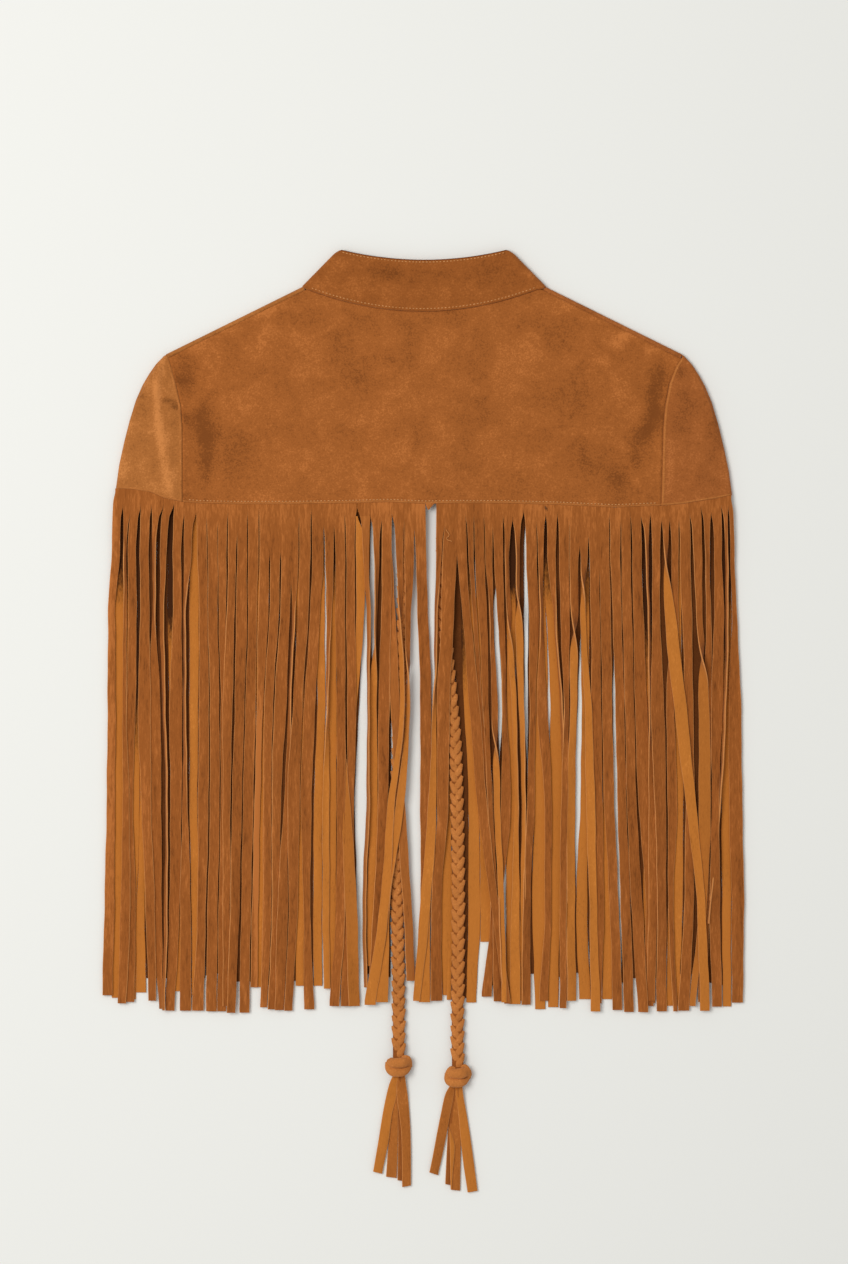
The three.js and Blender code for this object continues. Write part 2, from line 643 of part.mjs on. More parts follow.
const BODY = [
  ['back_yoke', backYoke(), COLOURS.back],
  ['sleeve_left', sleeveCap('left'), COLOURS.back],
  ['sleeve_right', sleeveCap('right'), COLOURS.back],
  ['front_left', frontPanel('left'), COLOURS.back],
  ['front_right', frontPanel('right'), COLOURS.back],
  ['collar', collar(), COLOURS.collar],
  ['fringe_back_left', fringeBack('left'), COLOURS.back],
  ['fringe_back_right', fringeBack('right'), COLOURS.back],
  ['fringe_front_left', fringeFront('left'), COLOURS.inside],
  ['fringe_front_right', fringeFront('right'), COLOURS.inside],
];
const TIES = ['left', 'right'].flatMap((side) => [
  [`tie_${side}`, tie(side), COLOURS.tie],
  [`knot_${side}`, knot(side), COLOURS.tie],
  [`tassel_${side}`, tassel(side), COLOURS.tie],
]);

function named([name, geometry, colour]) {
  const mesh = new THREE.Mesh(geometry, suede(colour));
  mesh.name = name;
  return mesh;
}

const cape = new THREE.Group();
const garment = BODY.map(named);
cape.add(...garment, ...TIES.map(named));

// The origin is the centre of the garment's base, without its ties.
const base = new THREE.Box3();
garment.forEach((mesh) => base.union(new THREE.Box3().setFromObject(mesh, true)));
const middle = base.getCenter(new THREE.Vector3());
cape.position.set(-middle.x, -middle.y, -base.min.z);
cape.updateMatrixWorld(true);

export default cape;
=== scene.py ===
"""Looks of the suede fringe cape, laid face down on a pale table.

Garment sizes are in millimetres from the centre back at the yoke hem: +X runs to the wearer's right,
+Y up to the collar and +Z off the table. Place turns them into metres in the row frame.
"""

import logging
import math
import random
from bisect import bisect_right
from collections.abc import Callable, Sequence
from dataclasses import dataclass, field
from enum import Enum
from functools import cache

import bmesh
import bpy
import numpy as np
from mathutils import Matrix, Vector


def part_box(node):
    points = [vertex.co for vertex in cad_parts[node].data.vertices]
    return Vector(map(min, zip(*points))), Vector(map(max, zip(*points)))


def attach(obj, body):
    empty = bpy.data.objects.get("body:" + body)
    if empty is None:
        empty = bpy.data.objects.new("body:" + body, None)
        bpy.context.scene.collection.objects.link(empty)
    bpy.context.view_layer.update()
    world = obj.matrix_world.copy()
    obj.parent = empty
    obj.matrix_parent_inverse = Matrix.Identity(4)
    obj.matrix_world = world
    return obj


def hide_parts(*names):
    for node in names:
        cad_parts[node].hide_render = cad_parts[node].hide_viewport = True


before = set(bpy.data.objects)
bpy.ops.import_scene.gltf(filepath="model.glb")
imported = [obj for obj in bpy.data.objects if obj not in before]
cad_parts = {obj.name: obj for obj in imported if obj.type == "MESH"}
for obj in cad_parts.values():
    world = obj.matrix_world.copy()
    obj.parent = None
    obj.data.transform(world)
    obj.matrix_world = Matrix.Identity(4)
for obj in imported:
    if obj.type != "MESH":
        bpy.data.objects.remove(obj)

LOG = logging.getLogger("cape")
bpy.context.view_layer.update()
MM = 0.001

Point = tuple[float, float, float]
Row = list[Point]

# ---- Cloth and how the layers lie, in millimetres ----
SUEDE = 1.2  # thickness of one layer
BAND = 2.4  # the collar is two layers sewn together
SEAM = 0.3  # gap left at every seam
LAID = 1.6  # underside of the back fringe where it lies on the front fringe
LOFT = 3.4  # underside of the back yoke above the table
SETTLE = 64.0  # length of fringe over which the back layer comes down from LOFT to LAID
FOLD = (LOFT + SUEDE) / 2  # outer radius of a fold from the front to the back
SHOULDER_SLOPE = 0.4945  # fall of the shoulder for each millimetre outwards
SHOULDER_RUN = math.hypot(1, SHOULDER_SLOPE)  # length of the shoulder for each millimetre outwards
SHOULDER_REF = (99.0, 161.0)  # a point on the shoulder fold
SHOULDER_STRIP = 3.2  # the front wraps over the shoulder by this much
LIP_ROOT = 4.0  # the wrapped edge leaves the flat front this far inside the fold
SLEEVE_TOP = 112.5  # top of the sleeve cap
SLEEVE_DRAW = 0.9  # the cap's worn fold draws in by this much towards the hem
FOLD_ROOM = 3.2  # least width of the sleeve cap at its top
NECK_X = 90.0  # half width of the neck at the shoulder
NECK_Y = 165.5  # height of the neck point
FRONT_NECK_DROP = 75.0  # how far the front neckline falls below the neck point
BACK_NECK_LOW, BACK_NECK_RISE, BACK_NECK_SHIFT = 146.5, 18.0, 1.0  # curve of the back neck seam
COLLAR_HALF, COLLAR_Y, COLLAR_DIP = 64.0, 193.0, 8.0  # top edge of the back collar
COLLAR_FRONT_DROP = 71.0  # fall of the collar's top edge towards the centre front
FRONT_EDGE = 24.1  # the centre front edges lie this far from the middle
TIE_WIDTH = 9.5
TIE_THICK = 5.2
BRIDGE_YOKE = 30.0  # the yoke comes down from the ties over this width
BRIDGE_FRINGE = 13.0  # and the fringe over this width
BRIDGE_TOP, BRIDGE_FADE = 112.0, 38.0  # the rise over the ties dies out above this height, over this length

SLEEVE_FOLD = (
    (0, 231.8), (20, 229.4), (40, 225.6), (58, 221.6), (76, 216.4), (89, 211.0), (98, 206.2), (107, 200.5),
    (113, 195.0),
)  # fmt: skip
SLEEVE_SEAM = {
    -1: ((0, 180.8), (58, 181.0), (75, 182.2), (91.5, 186.0), (103, 189.3), (113, 192.2)),
    1: ((0, 177.6), (58, 179.0), (75, 180.4), (91.5, 183.6), (103, 188.6), (113, 194.6)),
}
HEM = {
    -1: (
        (0, 2.2), (28, 3.5), (60, 2.6), (100, 2.0), (143, 2.0), (168, 2.6), (181, 3.7), (194, 6.2), (205, 11.0),
        (217, 13.0), (232, 13.9),
    ),
    1: (
        (0, 2.2), (28, 2.6), (60, 2.6), (100, 1.5), (143, -0.5), (168, 0.6), (181, 1.0), (194, 2.2), (205, 4.0),
        (217, 5.8), (232, 9.0),
    ),
}  # fmt: skip


def mix(a: float, b: float, t: float) -> float:
    """The value a share t of the way from a to b."""
    return a + (b - a) * t


def ease(t: float) -> float:
    """A soft step from 0 to 1."""
    s = min(max(t, 0.0), 1.0)
    return s * s * (3.0 - 2.0 * s)


def bell(t: float) -> float:
    """A soft hump, 1 at the middle and 0 from t = 1 on."""
    return 0.0 if abs(t) >= 1.0 else math.cos(t * math.pi / 2) ** 2


def look_up(table: Sequence[tuple[float, float]], at: float) -> float:
    """Reads a table in straight lines between its rows.

    Args:
        table: Pairs of place and value, with rising places.
        at: The place.

    Returns:
        The value there, held level beyond the ends.
    """
    i = bisect_right(table, at, key=lambda pair: pair[0])
    if i == 0:
        return table[0][1]
    if i == len(table):
        return table[-1][1]
    (a, u), (b, v) = table[i - 1], table[i]
    return mix(u, v, (at - a) / (b - a))


def smooth_curve(table: Sequence[tuple[float, float]]) -> Callable[[float], float]:
    """A smooth curve through pairs of place and value that doesn't swing past them.

    Args:
        table: Pairs of place and value, with rising places.

    Returns:
        A function from a place to its value.
    """
    xs = [p[0] for p in table]
    ys = [p[1] for p in table]
    runs = [(ys[i + 1] - ys[i]) / (xs[i + 1] - xs[i]) for i in range(len(xs) - 1)]
    slopes = [runs[0]]
    for a, b in zip(runs, runs[1:]):
        slopes.append(0.0 if a * b <= 0 else 2 * a * b / (a + b))
    slopes.append(runs[-1])

    def value(at: float) -> float:
        """The curve's value at a place."""
        if at <= xs[0]:
            return ys[0]
        if at >= xs[-1]:
            return ys[-1]
        i = bisect_right(xs, at) - 1
        run = xs[i + 1] - xs[i]
        t = (at - xs[i]) / run
        s = 1 - t
        return (
            ys[i] * (1 + 2 * t) * s * s
            + ys[i + 1] * (3 - 2 * t) * t * t
            + run * t * s * (slopes[i] * s - slopes[i + 1] * t)
        )

    return value


@dataclass(frozen=True)
class Place:
    """Moves garment millimetres to metres in the row frame."""

    x: float
    y: float

    def point(self, p: Point) -> Point:
        """One garment point in the row frame."""
        return (p[0] * MM + self.x, p[1] * MM + self.y, p[2] * MM)


PLACE = Place(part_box("sleeve_left")[0].x + 231.8 * MM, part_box("collar")[1].y - 192.6 * MM)


class Side(Enum):
    """The two halves of the cape, as they lie."""

    LEFT = -1
    RIGHT = 1

    @property
    def label(self) -> str:
        """The side as a word."""
        return self.name.lower()


class Slot(Enum):
    """Material slots of the record."""

    OUTER = "suede_outer"
    COLLAR = "suede_collar"
    FRINGE = "suede_fringe"
    BRAID = "suede_braid"


# ---- Ties: where they lie, in metres from the garment's middle ----
TIE_ROUTE: dict[Side, tuple[Point, ...]] = {
    Side.LEFT: (
        (-0.0190, 0.1080, 0.00265), (-0.0190, 0.0900, 0.00265), (-0.0176, 0.0600, 0.00265),
        (-0.0160, 0.0300, 0.00265), (-0.0150, 0.0000, 0.00265), (-0.0150, -0.0400, 0.00265),
        (-0.0154, -0.0750, 0.00265), (-0.0166, -0.1150, 0.00265), (-0.0184, -0.1600, 0.00265),
        (-0.0200, -0.2100, 0.00265), (-0.0206, -0.2650, 0.00265), (-0.0198, -0.3180, 0.00265),
        (-0.0192, -0.3500, 0.00265), (-0.0190, -0.3800, 0.00275), (-0.0190, -0.3960, 0.00315),
        (-0.0190, -0.4097, 0.00440),
    ),
    Side.RIGHT: (
        (0.0190, 0.1080, 0.00265), (0.0190, 0.0900, 0.00265), (0.0174, 0.0600, 0.00265),
        (0.0156, 0.0300, 0.00265), (0.0146, 0.0000, 0.00265), (0.0142, -0.0400, 0.00265),
        (0.0146, -0.0700, 0.00265), (0.0168, -0.1070, 0.00265), (0.0204, -0.1450, 0.00265),
        (0.0232, -0.1780, 0.00265), (0.0246, -0.2200, 0.00265), (0.0254, -0.2600, 0.00265),
        (0.0257, -0.3000, 0.00265), (0.0254, -0.3450, 0.00265), (0.0251, -0.3850, 0.00275),
        (0.0251, -0.4030, 0.00315), (0.0252, -0.4167, 0.00440),
    ),
}  # fmt: skip
TIE_LINE = {side: sorted((p[1] / MM, p[0] / MM) for p in route) for side, route in TIE_ROUTE.items()}


@dataclass(frozen=True)
class Crease:
    """A soft ridge or hollow of the back layer along a line through given points."""

    line: tuple[tuple[float, float], ...]
    wide: float
    high: float

    def at(self, x: float, y: float) -> float:
        """How far the crease raises the cloth at a point."""
        nearest = math.inf
        for (ax, ay), (bx, by) in zip(self.line, self.line[1:]):
            dx, dy = bx - ax, by - ay
            t = min(max(((x - ax) * dx + (y - ay) * dy) / (dx * dx + dy * dy), 0.0), 1.0)
            nearest = min(nearest, math.hypot(x - ax - t * dx, y - ay - t * dy))
        return self.high * bell(nearest / (2 * self.wide))


FOLDS = (
    Crease(((-204, 92), (-188, 10)), 14, 1.6),
    Crease(((-171, 84), (-167, 6)), 13, -1.2),
    Crease(((181, 104), (140, 14)), 14, -1.1),
    Crease(((206, 84), (202, 14)), 13, 1.2),
)
# Smaller creases that the cloth keeps from being worn and folded.
WEAR_CREASES = (
    Crease(((-197, 84), (-187, 77), (-180, 70), (-174, 64)), 1.8, -1.5),
    Crease(((-193, 112), (-198, 104), (-200, 88), (-199, 70), (-196, 52), (-191, 32), (-187, 10)), 1.8, 0.8),
    Crease(((-188, 112), (-176, 98), (-168, 91)), 6.0, -0.7),
    Crease(((181, 106), (176, 84), (170, 58), (156, 36), (136, 13)), 4.2, -0.65),
    Crease(((192, 98), (187, 70), (178, 40)), 5.0, 0.5),
    Crease(((214, 70), (210, 40), (206, 18)), 4.0, 0.5),
    Crease(((-120, 118), (-96, 70), (-88, 30)), 10.0, 0.35),
    Crease(((-60, 128), (-48, 84), (-52, 40)), 12.0, -0.3),
    Crease(((44, 130), (58, 90), (50, 44)), 12.0, 0.3),
    Crease(((98, 120), (110, 76), (104, 30)), 10.0, -0.35),
    Crease(((8, 140), (2, 84), (6, 20)), 9.0, -0.3),
)


def hem_y(x: float) -> float:
    """Height of the yoke hem at a distance along it."""
    return look_up(HEM[-1 if x < 0 else 1], abs(x))


def shoulder_y(x: float) -> float:
    """Height of the shoulder fold."""
    return SHOULDER_REF[1] - SHOULDER_SLOPE * (abs(x) - SHOULDER_REF[0])


def back_neck_y(x: float) -> float:
    """Height of the back neck seam."""
    return BACK_NECK_LOW + BACK_NECK_RISE * ((x + BACK_NECK_SHIFT) / NECK_X) ** 2


def collar_top_y(x: float) -> float:
    """Height of the back collar's top edge."""
    return COLLAR_Y - COLLAR_DIP * (1.0 - (x / COLLAR_HALF) ** 2)


def sleeve_fold_x(y: float) -> float:
    """Distance of the sleeve cap's outer fold from the middle."""
    return look_up(SLEEVE_FOLD, y) - SLEEVE_DRAW * ease((105.0 - y) / 50.0)


def sleeve_seam_x(side: Side, y: float) -> float:
    """Distance of the sleeve seam from the middle."""
    return min(look_up(SLEEVE_SEAM[side.value], y), sleeve_fold_x(y) - FOLD_ROOM)


def tie_x(side: Side, y: float) -> float:
    """Distance along X at which a tie lies at a height on the garment."""
    return look_up(TIE_LINE[side], y)


def lift(x: float, y: float) -> float:
    """Height of the underside of the back layer, which rises gently over the two ties."""
    base = mix(LAID, LOFT, ease(y / SETTLE + 1.0)) + sum(f.at(x, y) for f in FOLDS)
    left, right = tie_x(Side.LEFT, y), tie_x(Side.RIGHT, y)
    beside = max(left - x, x - right, 0.0)
    nearest = min(abs(x - left), abs(x - right))
    share = mix(bell(nearest / BRIDGE_FRINGE), bell(beside / BRIDGE_YOKE), ease(y / SETTLE + 1.0))
    fade = 1.0 - ease((y - BRIDGE_TOP) / BRIDGE_FADE)
    return base + (TIE_THICK + SEAM - base) * share * fade


# ---- Finishes ----
Colour = tuple[float, float, float]
# A soft spot painted lighter or darker: its middle, half width, half height and how much. Many are painted light and
# shade along folds.
PaintedSpot = tuple[float, float, float, float, float]


@dataclass(frozen=True)
class Suede:
    """A brushed suede: nap that lies light and dark in patches, fine fibre and a soft sheen."""

    name: str
    deep: Colour
    middle: Colour
    light: Colour
    patch: float = 55.0
    streak: float = 1.0
    sheen: float = 0.25
    nap: float = 0.35
    spread: float = 0.72
    # Soft spots painted over the nap's patches, among them painted highlights and painted shade along folds.
    painted_spots: tuple[PaintedSpot, ...] = ()
    fibre: float = 800.0
    tone_shares: tuple[float, float, float] = (0.34, 0.16, 0.50)
    bump_shares: tuple[float, float] = (0.5, 0.8)

    @cache
    def material(self) -> bpy.types.Material:
        """Builds the node material, once.

        Returns:
            The finished material.
        """
        finish = bpy.data.materials.new(self.name)
        finish.use_nodes = True
        nodes, links = finish.node_tree.nodes, finish.node_tree.links
        shader = nodes["Principled BSDF"]
        place = nodes.new("ShaderNodeTexCoord").outputs["Object"]
        grain = nodes.new("ShaderNodeMapping")
        grain.inputs["Scale"].default_value = (1.0, self.streak, 1.0)
        links.new(place, grain.inputs["Vector"])

        def noise(scale: float, rough: float, twist: float = 0.0) -> bpy.types.NodeSocket:
            """A noise of the given scale over the cloth."""
            node = nodes.new("ShaderNodeTexNoise")
            for key, value in (("Scale", scale), ("Detail", 3.0), ("Roughness", rough), ("Distortion", twist)):
                node.inputs[key].default_value = value
            links.new(grain.outputs["Vector"], node.inputs["Vector"])
            return node.outputs["Fac"]

        def total(*parts: tuple[bpy.types.NodeSocket, float]) -> bpy.types.NodeSocket:
            """The sum of some values, each times its share."""
            found = None
            for value, share in parts:
                scaled = nodes.new("ShaderNodeMath")
                scaled.operation = "MULTIPLY"
                links.new(value, scaled.inputs[0])
                scaled.inputs[1].default_value = share
                if found:
                    both = nodes.new("ShaderNodeMath")
                    both.operation = "ADD"
                    links.new(found, both.inputs[0])
                    links.new(scaled.outputs[0], both.inputs[1])
                found = both.outputs[0] if found else scaled.outputs[0]
            return found

        def spot(x: float, y: float, wide: float, tall: float) -> bpy.types.NodeSocket:
            """1 at the middle of a soft spot painted lighter or darker, down to 0 at its rim."""
            middle = PLACE.point((x, y, 0.0))
            fit = nodes.new("ShaderNodeMapping")
            fit.vector_type = "POINT"
            fit.inputs["Location"].default_value = (-middle[0] / (wide * MM), -middle[1] / (tall * MM), 0.0)
            fit.inputs["Scale"].default_value = (1.0 / (wide * MM), 1.0 / (tall * MM), 0.0)
            links.new(place, fit.inputs["Vector"])
            ball = nodes.new("ShaderNodeTexGradient")
            ball.gradient_type = "SPHERICAL"
            links.new(fit.outputs["Vector"], ball.inputs["Vector"])
            return ball.outputs["Fac"]

        patches, brush, fibre = noise(self.patch, 0.55, 0.6), noise(self.patch * 7.0, 0.6, 0.3), noise(self.fibre, 0.8)
        spots = [(spot(*painted_spot[:4]), painted_spot[4]) for painted_spot in self.painted_spots]
        ramp = nodes.new("ShaderNodeValToRGB")
        ramp.color_ramp.interpolation = "EASE"
        ends = ramp.color_ramp.elements
        ends[0].position, ends[0].color = 0.5 - 0.3 * self.spread, (*self.deep, 1.0)
        ends[1].position, ends[1].color = 0.5 + 0.3 * self.spread, (*self.light, 1.0)
        ends.new(0.5).color = (*self.middle, 1.0)
        links.new(total(*zip((patches, brush, fibre), self.tone_shares), *spots), ramp.inputs["Fac"])
        links.new(ramp.outputs["Color"], shader.inputs["Base Color"])
        bump = nodes.new("ShaderNodeBump")
        bump.inputs["Strength"].default_value = self.nap
        bump.inputs["Distance"].default_value = 0.0007
        links.new(total(*zip((fibre, brush), self.bump_shares)), bump.inputs["Height"])
        links.new(bump.outputs["Normal"], shader.inputs["Normal"])
        shader.inputs["Roughness"].default_value = 0.95
        shader.inputs["Specular IOR Level"].default_value = 0.12
        shader.inputs["Sheen Weight"].default_value = self.sheen
        shader.inputs["Sheen Roughness"].default_value = 0.45
        shader.inputs["Sheen Tint"].default_value = (1.0, 0.72, 0.48, 1.0)
        return finish


def shade(*base: float, deep: float = 0.58, light: float = 1.5) -> tuple[Colour, Colour, Colour]:
    """The deep, middle and light tones of a nap about one base colour."""
    red, green, blue = base
    dark = (red * deep, green * deep * 0.96, blue * deep * 0.9)
    pale = (red * light, green * light * 1.08, blue * light * 1.3)
    return dark, (red, green, blue), pale


# Painted shade in the folds beside the sleeve seams, a pale band under the shoulder edges and broad patches of the
# suede's own tone.
YOKE_PAINTED_SHADING: tuple[PaintedSpot, ...] = (
    (-164.0, 50.0, 14.0, 62.0, -0.12), (-164.0, 32.0, 9.0, 28.0, -0.06), (-166.0, 74.0, 7.0, 18.0, -0.05),
        (-179.0, 100.0, 12.0, 28.0, -0.10), (-177.0, 68.0, 8.0, 8.0, -0.12),
    (-146.0, 38.0, 26.0, 40.0, -0.05), (176.0, 92.0, 12.0, 34.0, -0.12), (172.0, 70.0, 12.0, 24.0, -0.08),
    (162.0, 46.0, 12.0, 22.0, -0.10), (168.0, 60.0, 9.0, 16.0, -0.07), (154.0, 34.0, 10.0, 14.0, -0.07),
    (174.0, 82.0, 8.0, 18.0, -0.05), (146.0, 22.0, 13.0, 15.0, -0.09), (-52.0, 108.0, 28.0, 40.0, -0.06),
    (98.0, 88.0, 26.0, 30.0, -0.05), (122.0, 44.0, 30.0, 34.0, -0.05), (-32.0, 30.0, 40.0, 28.0, 0.06),
    (-98.0, 118.0, 38.0, 24.0, 0.05), (58.0, 104.0, 34.0, 30.0, 0.06), (-88.0, 40.0, 38.0, 30.0, 0.03),
    (144.0, 123.0, 12.0, 8.0, 0.14), (133.0, 108.0, 9.0, 7.0, 0.10), (-104.0, 150.0, 34.0, 9.0, 0.08),
    (108.0, 150.0, 30.0, 9.0, 0.07), (-176.0, 119.0, 17.0, 7.0, 0.10), (-150.0, 132.0, 17.0, 7.0, 0.10),
    (-124.0, 145.0, 17.0, 7.0, 0.09), (128.0, 141.0, 16.0, 6.0, 0.09), (152.0, 129.0, 16.0, 6.0, 0.12),
    (174.0, 118.0, 14.0, 6.0, 0.12),
)  # fmt: skip
# Painted highlight along the sleeve's ridge, and painted shade in its drag line and hollows.
LEFT_SLEEVE_PAINTED_SHADING: tuple[PaintedSpot, ...] = (
    (-195.5, 105.0, 4.5, 14.0, 0.12), (-200.0, 86.0, 4.5, 26.0, 0.14), (-198.5, 64.0, 5.0, 26.0, 0.12),
    (-195.0, 40.0, 6.5, 26.0, 0.12), (-190.0, 16.0, 8.0, 24.0, 0.12), (-226.0, 36.0, 9.0, 48.0, 0.08),
        (-191.0, 79.5, 8.0, 3.5, -0.20),
    (-186.0, 75.0, 4.0, 4.0, -0.16), (-210.0, 70.0, 9.0, 26.0, -0.09), (-203.0, 36.0, 8.0, 20.0, -0.07),
)  # fmt: skip
# Soft spots painted lighter or darker on the right sleeve.
RIGHT_SLEEVE_SPOTS: tuple[PaintedSpot, ...] = (
    (184.0, 26.0, 5.5, 38.0, 0.09), (194.0, 101.0, 10.0, 9.0, -0.10), (204.0, 50.0, 9.0, 22.0, 0.05),
    (218.0, 40.0, 9.0, 44.0, -0.05), (192.0, 72.0, 9.0, 24.0, -0.04),
)  # fmt: skip
# Soft spots painted lighter or darker on the collar.
COLLAR_SPOTS: tuple[PaintedSpot, ...] = (
    (-24.0, 175.0, 48.0, 9.0, -0.07), (44.0, 176.0, 34.0, 10.0, -0.06), (-82.0, 165.0, 16.0, 10.0, 0.09),
    (-56.0, 162.0, 14.0, 7.0, 0.08), (6.0, 161.0, 40.0, 8.0, 0.05), (80.0, 172.0, 10.0, 14.0, 0.05),
    (-64.0, 183.0, 12.0, 9.0, 0.05),
)  # fmt: skip
# Soft spots painted lighter on the fringe.
FRINGE_LIGHTER_SPOTS: tuple[PaintedSpot, ...] = (
    (0.0, 2.0, 700.0, 30.0, 0.07), (-237.0, -170.0, 9.0, 300.0, 0.14), (-60.0, -330.0, 60.0, 90.0, 0.03),
    (-124.0, -262.0, 5.5, 165.0, 0.46),
)  # fmt: skip

# Painted shade on the inner face of the front fringe: dark under the hem, fading down the strands, and in narrow gaps
# between the back strands.
PAINTED_SHADE_SPOTS: tuple[PaintedSpot, ...] = (
    (0.0, 15.0, 5000.0, 100.0, -0.88), (-190.0, -45.0, 7.0, 68.0, -0.88), (-215.0, -80.0, 5.0, 120.0, -0.80),
    (26.0, -90.0, 9.0, 72.0, -0.62), (168.0, -60.0, 6.0, 80.0, -0.72), (225.0, -70.0, 6.0, 80.0, -0.72),
    (204.0, -130.0, 5.0, 110.0, -0.65), (66.0, -40.0, 5.0, 30.0, -0.60),
)  # fmt: skip


YOKE = Suede("yoke_suede", *shade(0.332, 0.100, 0.0195), patch=38.0, spread=0.56, painted_spots=YOKE_PAINTED_SHADING)
SLEEVES = {
    Side.LEFT: Suede(
        "sleeve_suede_light", *shade(0.37, 0.127, 0.0285), patch=42.0, spread=0.58, painted_spots=LEFT_SLEEVE_PAINTED_SHADING
    ),
    Side.RIGHT: Suede("sleeve_suede", *shade(0.32, 0.096, 0.0205), patch=42.0, spread=0.58, painted_spots=RIGHT_SLEEVE_SPOTS),
}
COLLAR_SUEDE = Suede("collar_suede", *shade(0.29, 0.085, 0.0155), patch=75.0, spread=0.6, painted_spots=COLLAR_SPOTS)
FRINGE = Suede(
    "fringe_suede", *shade(0.295, 0.087, 0.0158), patch=120.0, streak=0.14, spread=0.55, painted_spots=FRINGE_LIGHTER_SPOTS
)
FRINGE_WARM = Suede("fringe_suede_warm", *shade(0.345, 0.107, 0.0205), patch=120.0, streak=0.14, painted_spots=FRINGE_LIGHTER_SPOTS)
INNER = Suede("inner_suede", *shade(0.47, 0.156, 0.0240), patch=60.0, streak=0.3, spread=1.0)
INNER_DIM = Suede("inner_suede_dim", *shade(0.40, 0.129, 0.0205), patch=60.0, streak=0.3, spread=1.0)
# The inner face painted dark as shade, for strands deep in the gaps.
INNER_PAINTED_SHADE = Suede("inner_suede_shaded", *shade(0.10, 0.028, 0.005), patch=60.0, sheen=0.0)
# The inner face of the front fringe, with painted shade under the hem and in the narrow gaps.
INNER_PAINTED_SHADE_UNDER_HEM = Suede(
    "inner_suede_painted_shade_under_hem", (0.050, 0.014, 0.003), (0.47, 0.156, 0.0240), (0.66, 0.24, 0.046), patch=60.0,
    streak=0.3, spread=1.5, painted_spots=PAINTED_SHADE_SPOTS,
)  # fmt: skip
EDGE = Suede("cut_edge", *shade(0.56, 0.22, 0.062), patch=120.0, nap=0.2, spread=1.0)
# A cut edge painted dark as shade, for strands deep in the gaps.
EDGE_PAINTED_SHADE = Suede("cut_edge_shaded", *shade(0.10, 0.028, 0.006), patch=60.0, sheen=0.0)
BRAID = Suede("braid_suede", *shade(0.475, 0.164, 0.037), patch=120.0, nap=0.4)
# The braid suede painted dark as the shade between strips and turns.
BRAID_PAINTED_SHADE = Suede("braid_suede_shaded", *shade(0.25, 0.072, 0.013), patch=120.0, sheen=0.0)
TASSEL = Suede("tassel_suede", *shade(0.36, 0.112, 0.0195), patch=60.0, streak=0.4)
# The tassel suede painted darker as shade.
TASSEL_PAINTED_SHADE = Suede("tassel_suede_painted_shade", *shade(0.27, 0.078, 0.014), patch=60.0, streak=0.4)
# Paler suede beside seams and hems: rubbed wear and a painted highlight on the ridge.
SEAM_WEAR_AND_HIGHLIGHT = Suede("seam_wear_and_highlight", *shade(0.41, 0.140, 0.032), patch=90.0)
SEAM_SHADOW = Suede("seam_shadow", *shade(0.14, 0.040, 0.008), patch=120.0, sheen=0.0)
THREAD = Suede("thread", *shade(0.58, 0.275, 0.10), patch=300.0, sheen=0.1)



# ---- Making meshes ----
def place_in_scene(name: str, data: bpy.types.ID) -> bpy.types.Object:
    """Puts a new object that holds the data into the scene."""
    thing = bpy.data.objects.new(name, data)
    bpy.context.scene.collection.objects.link(thing)
    return thing


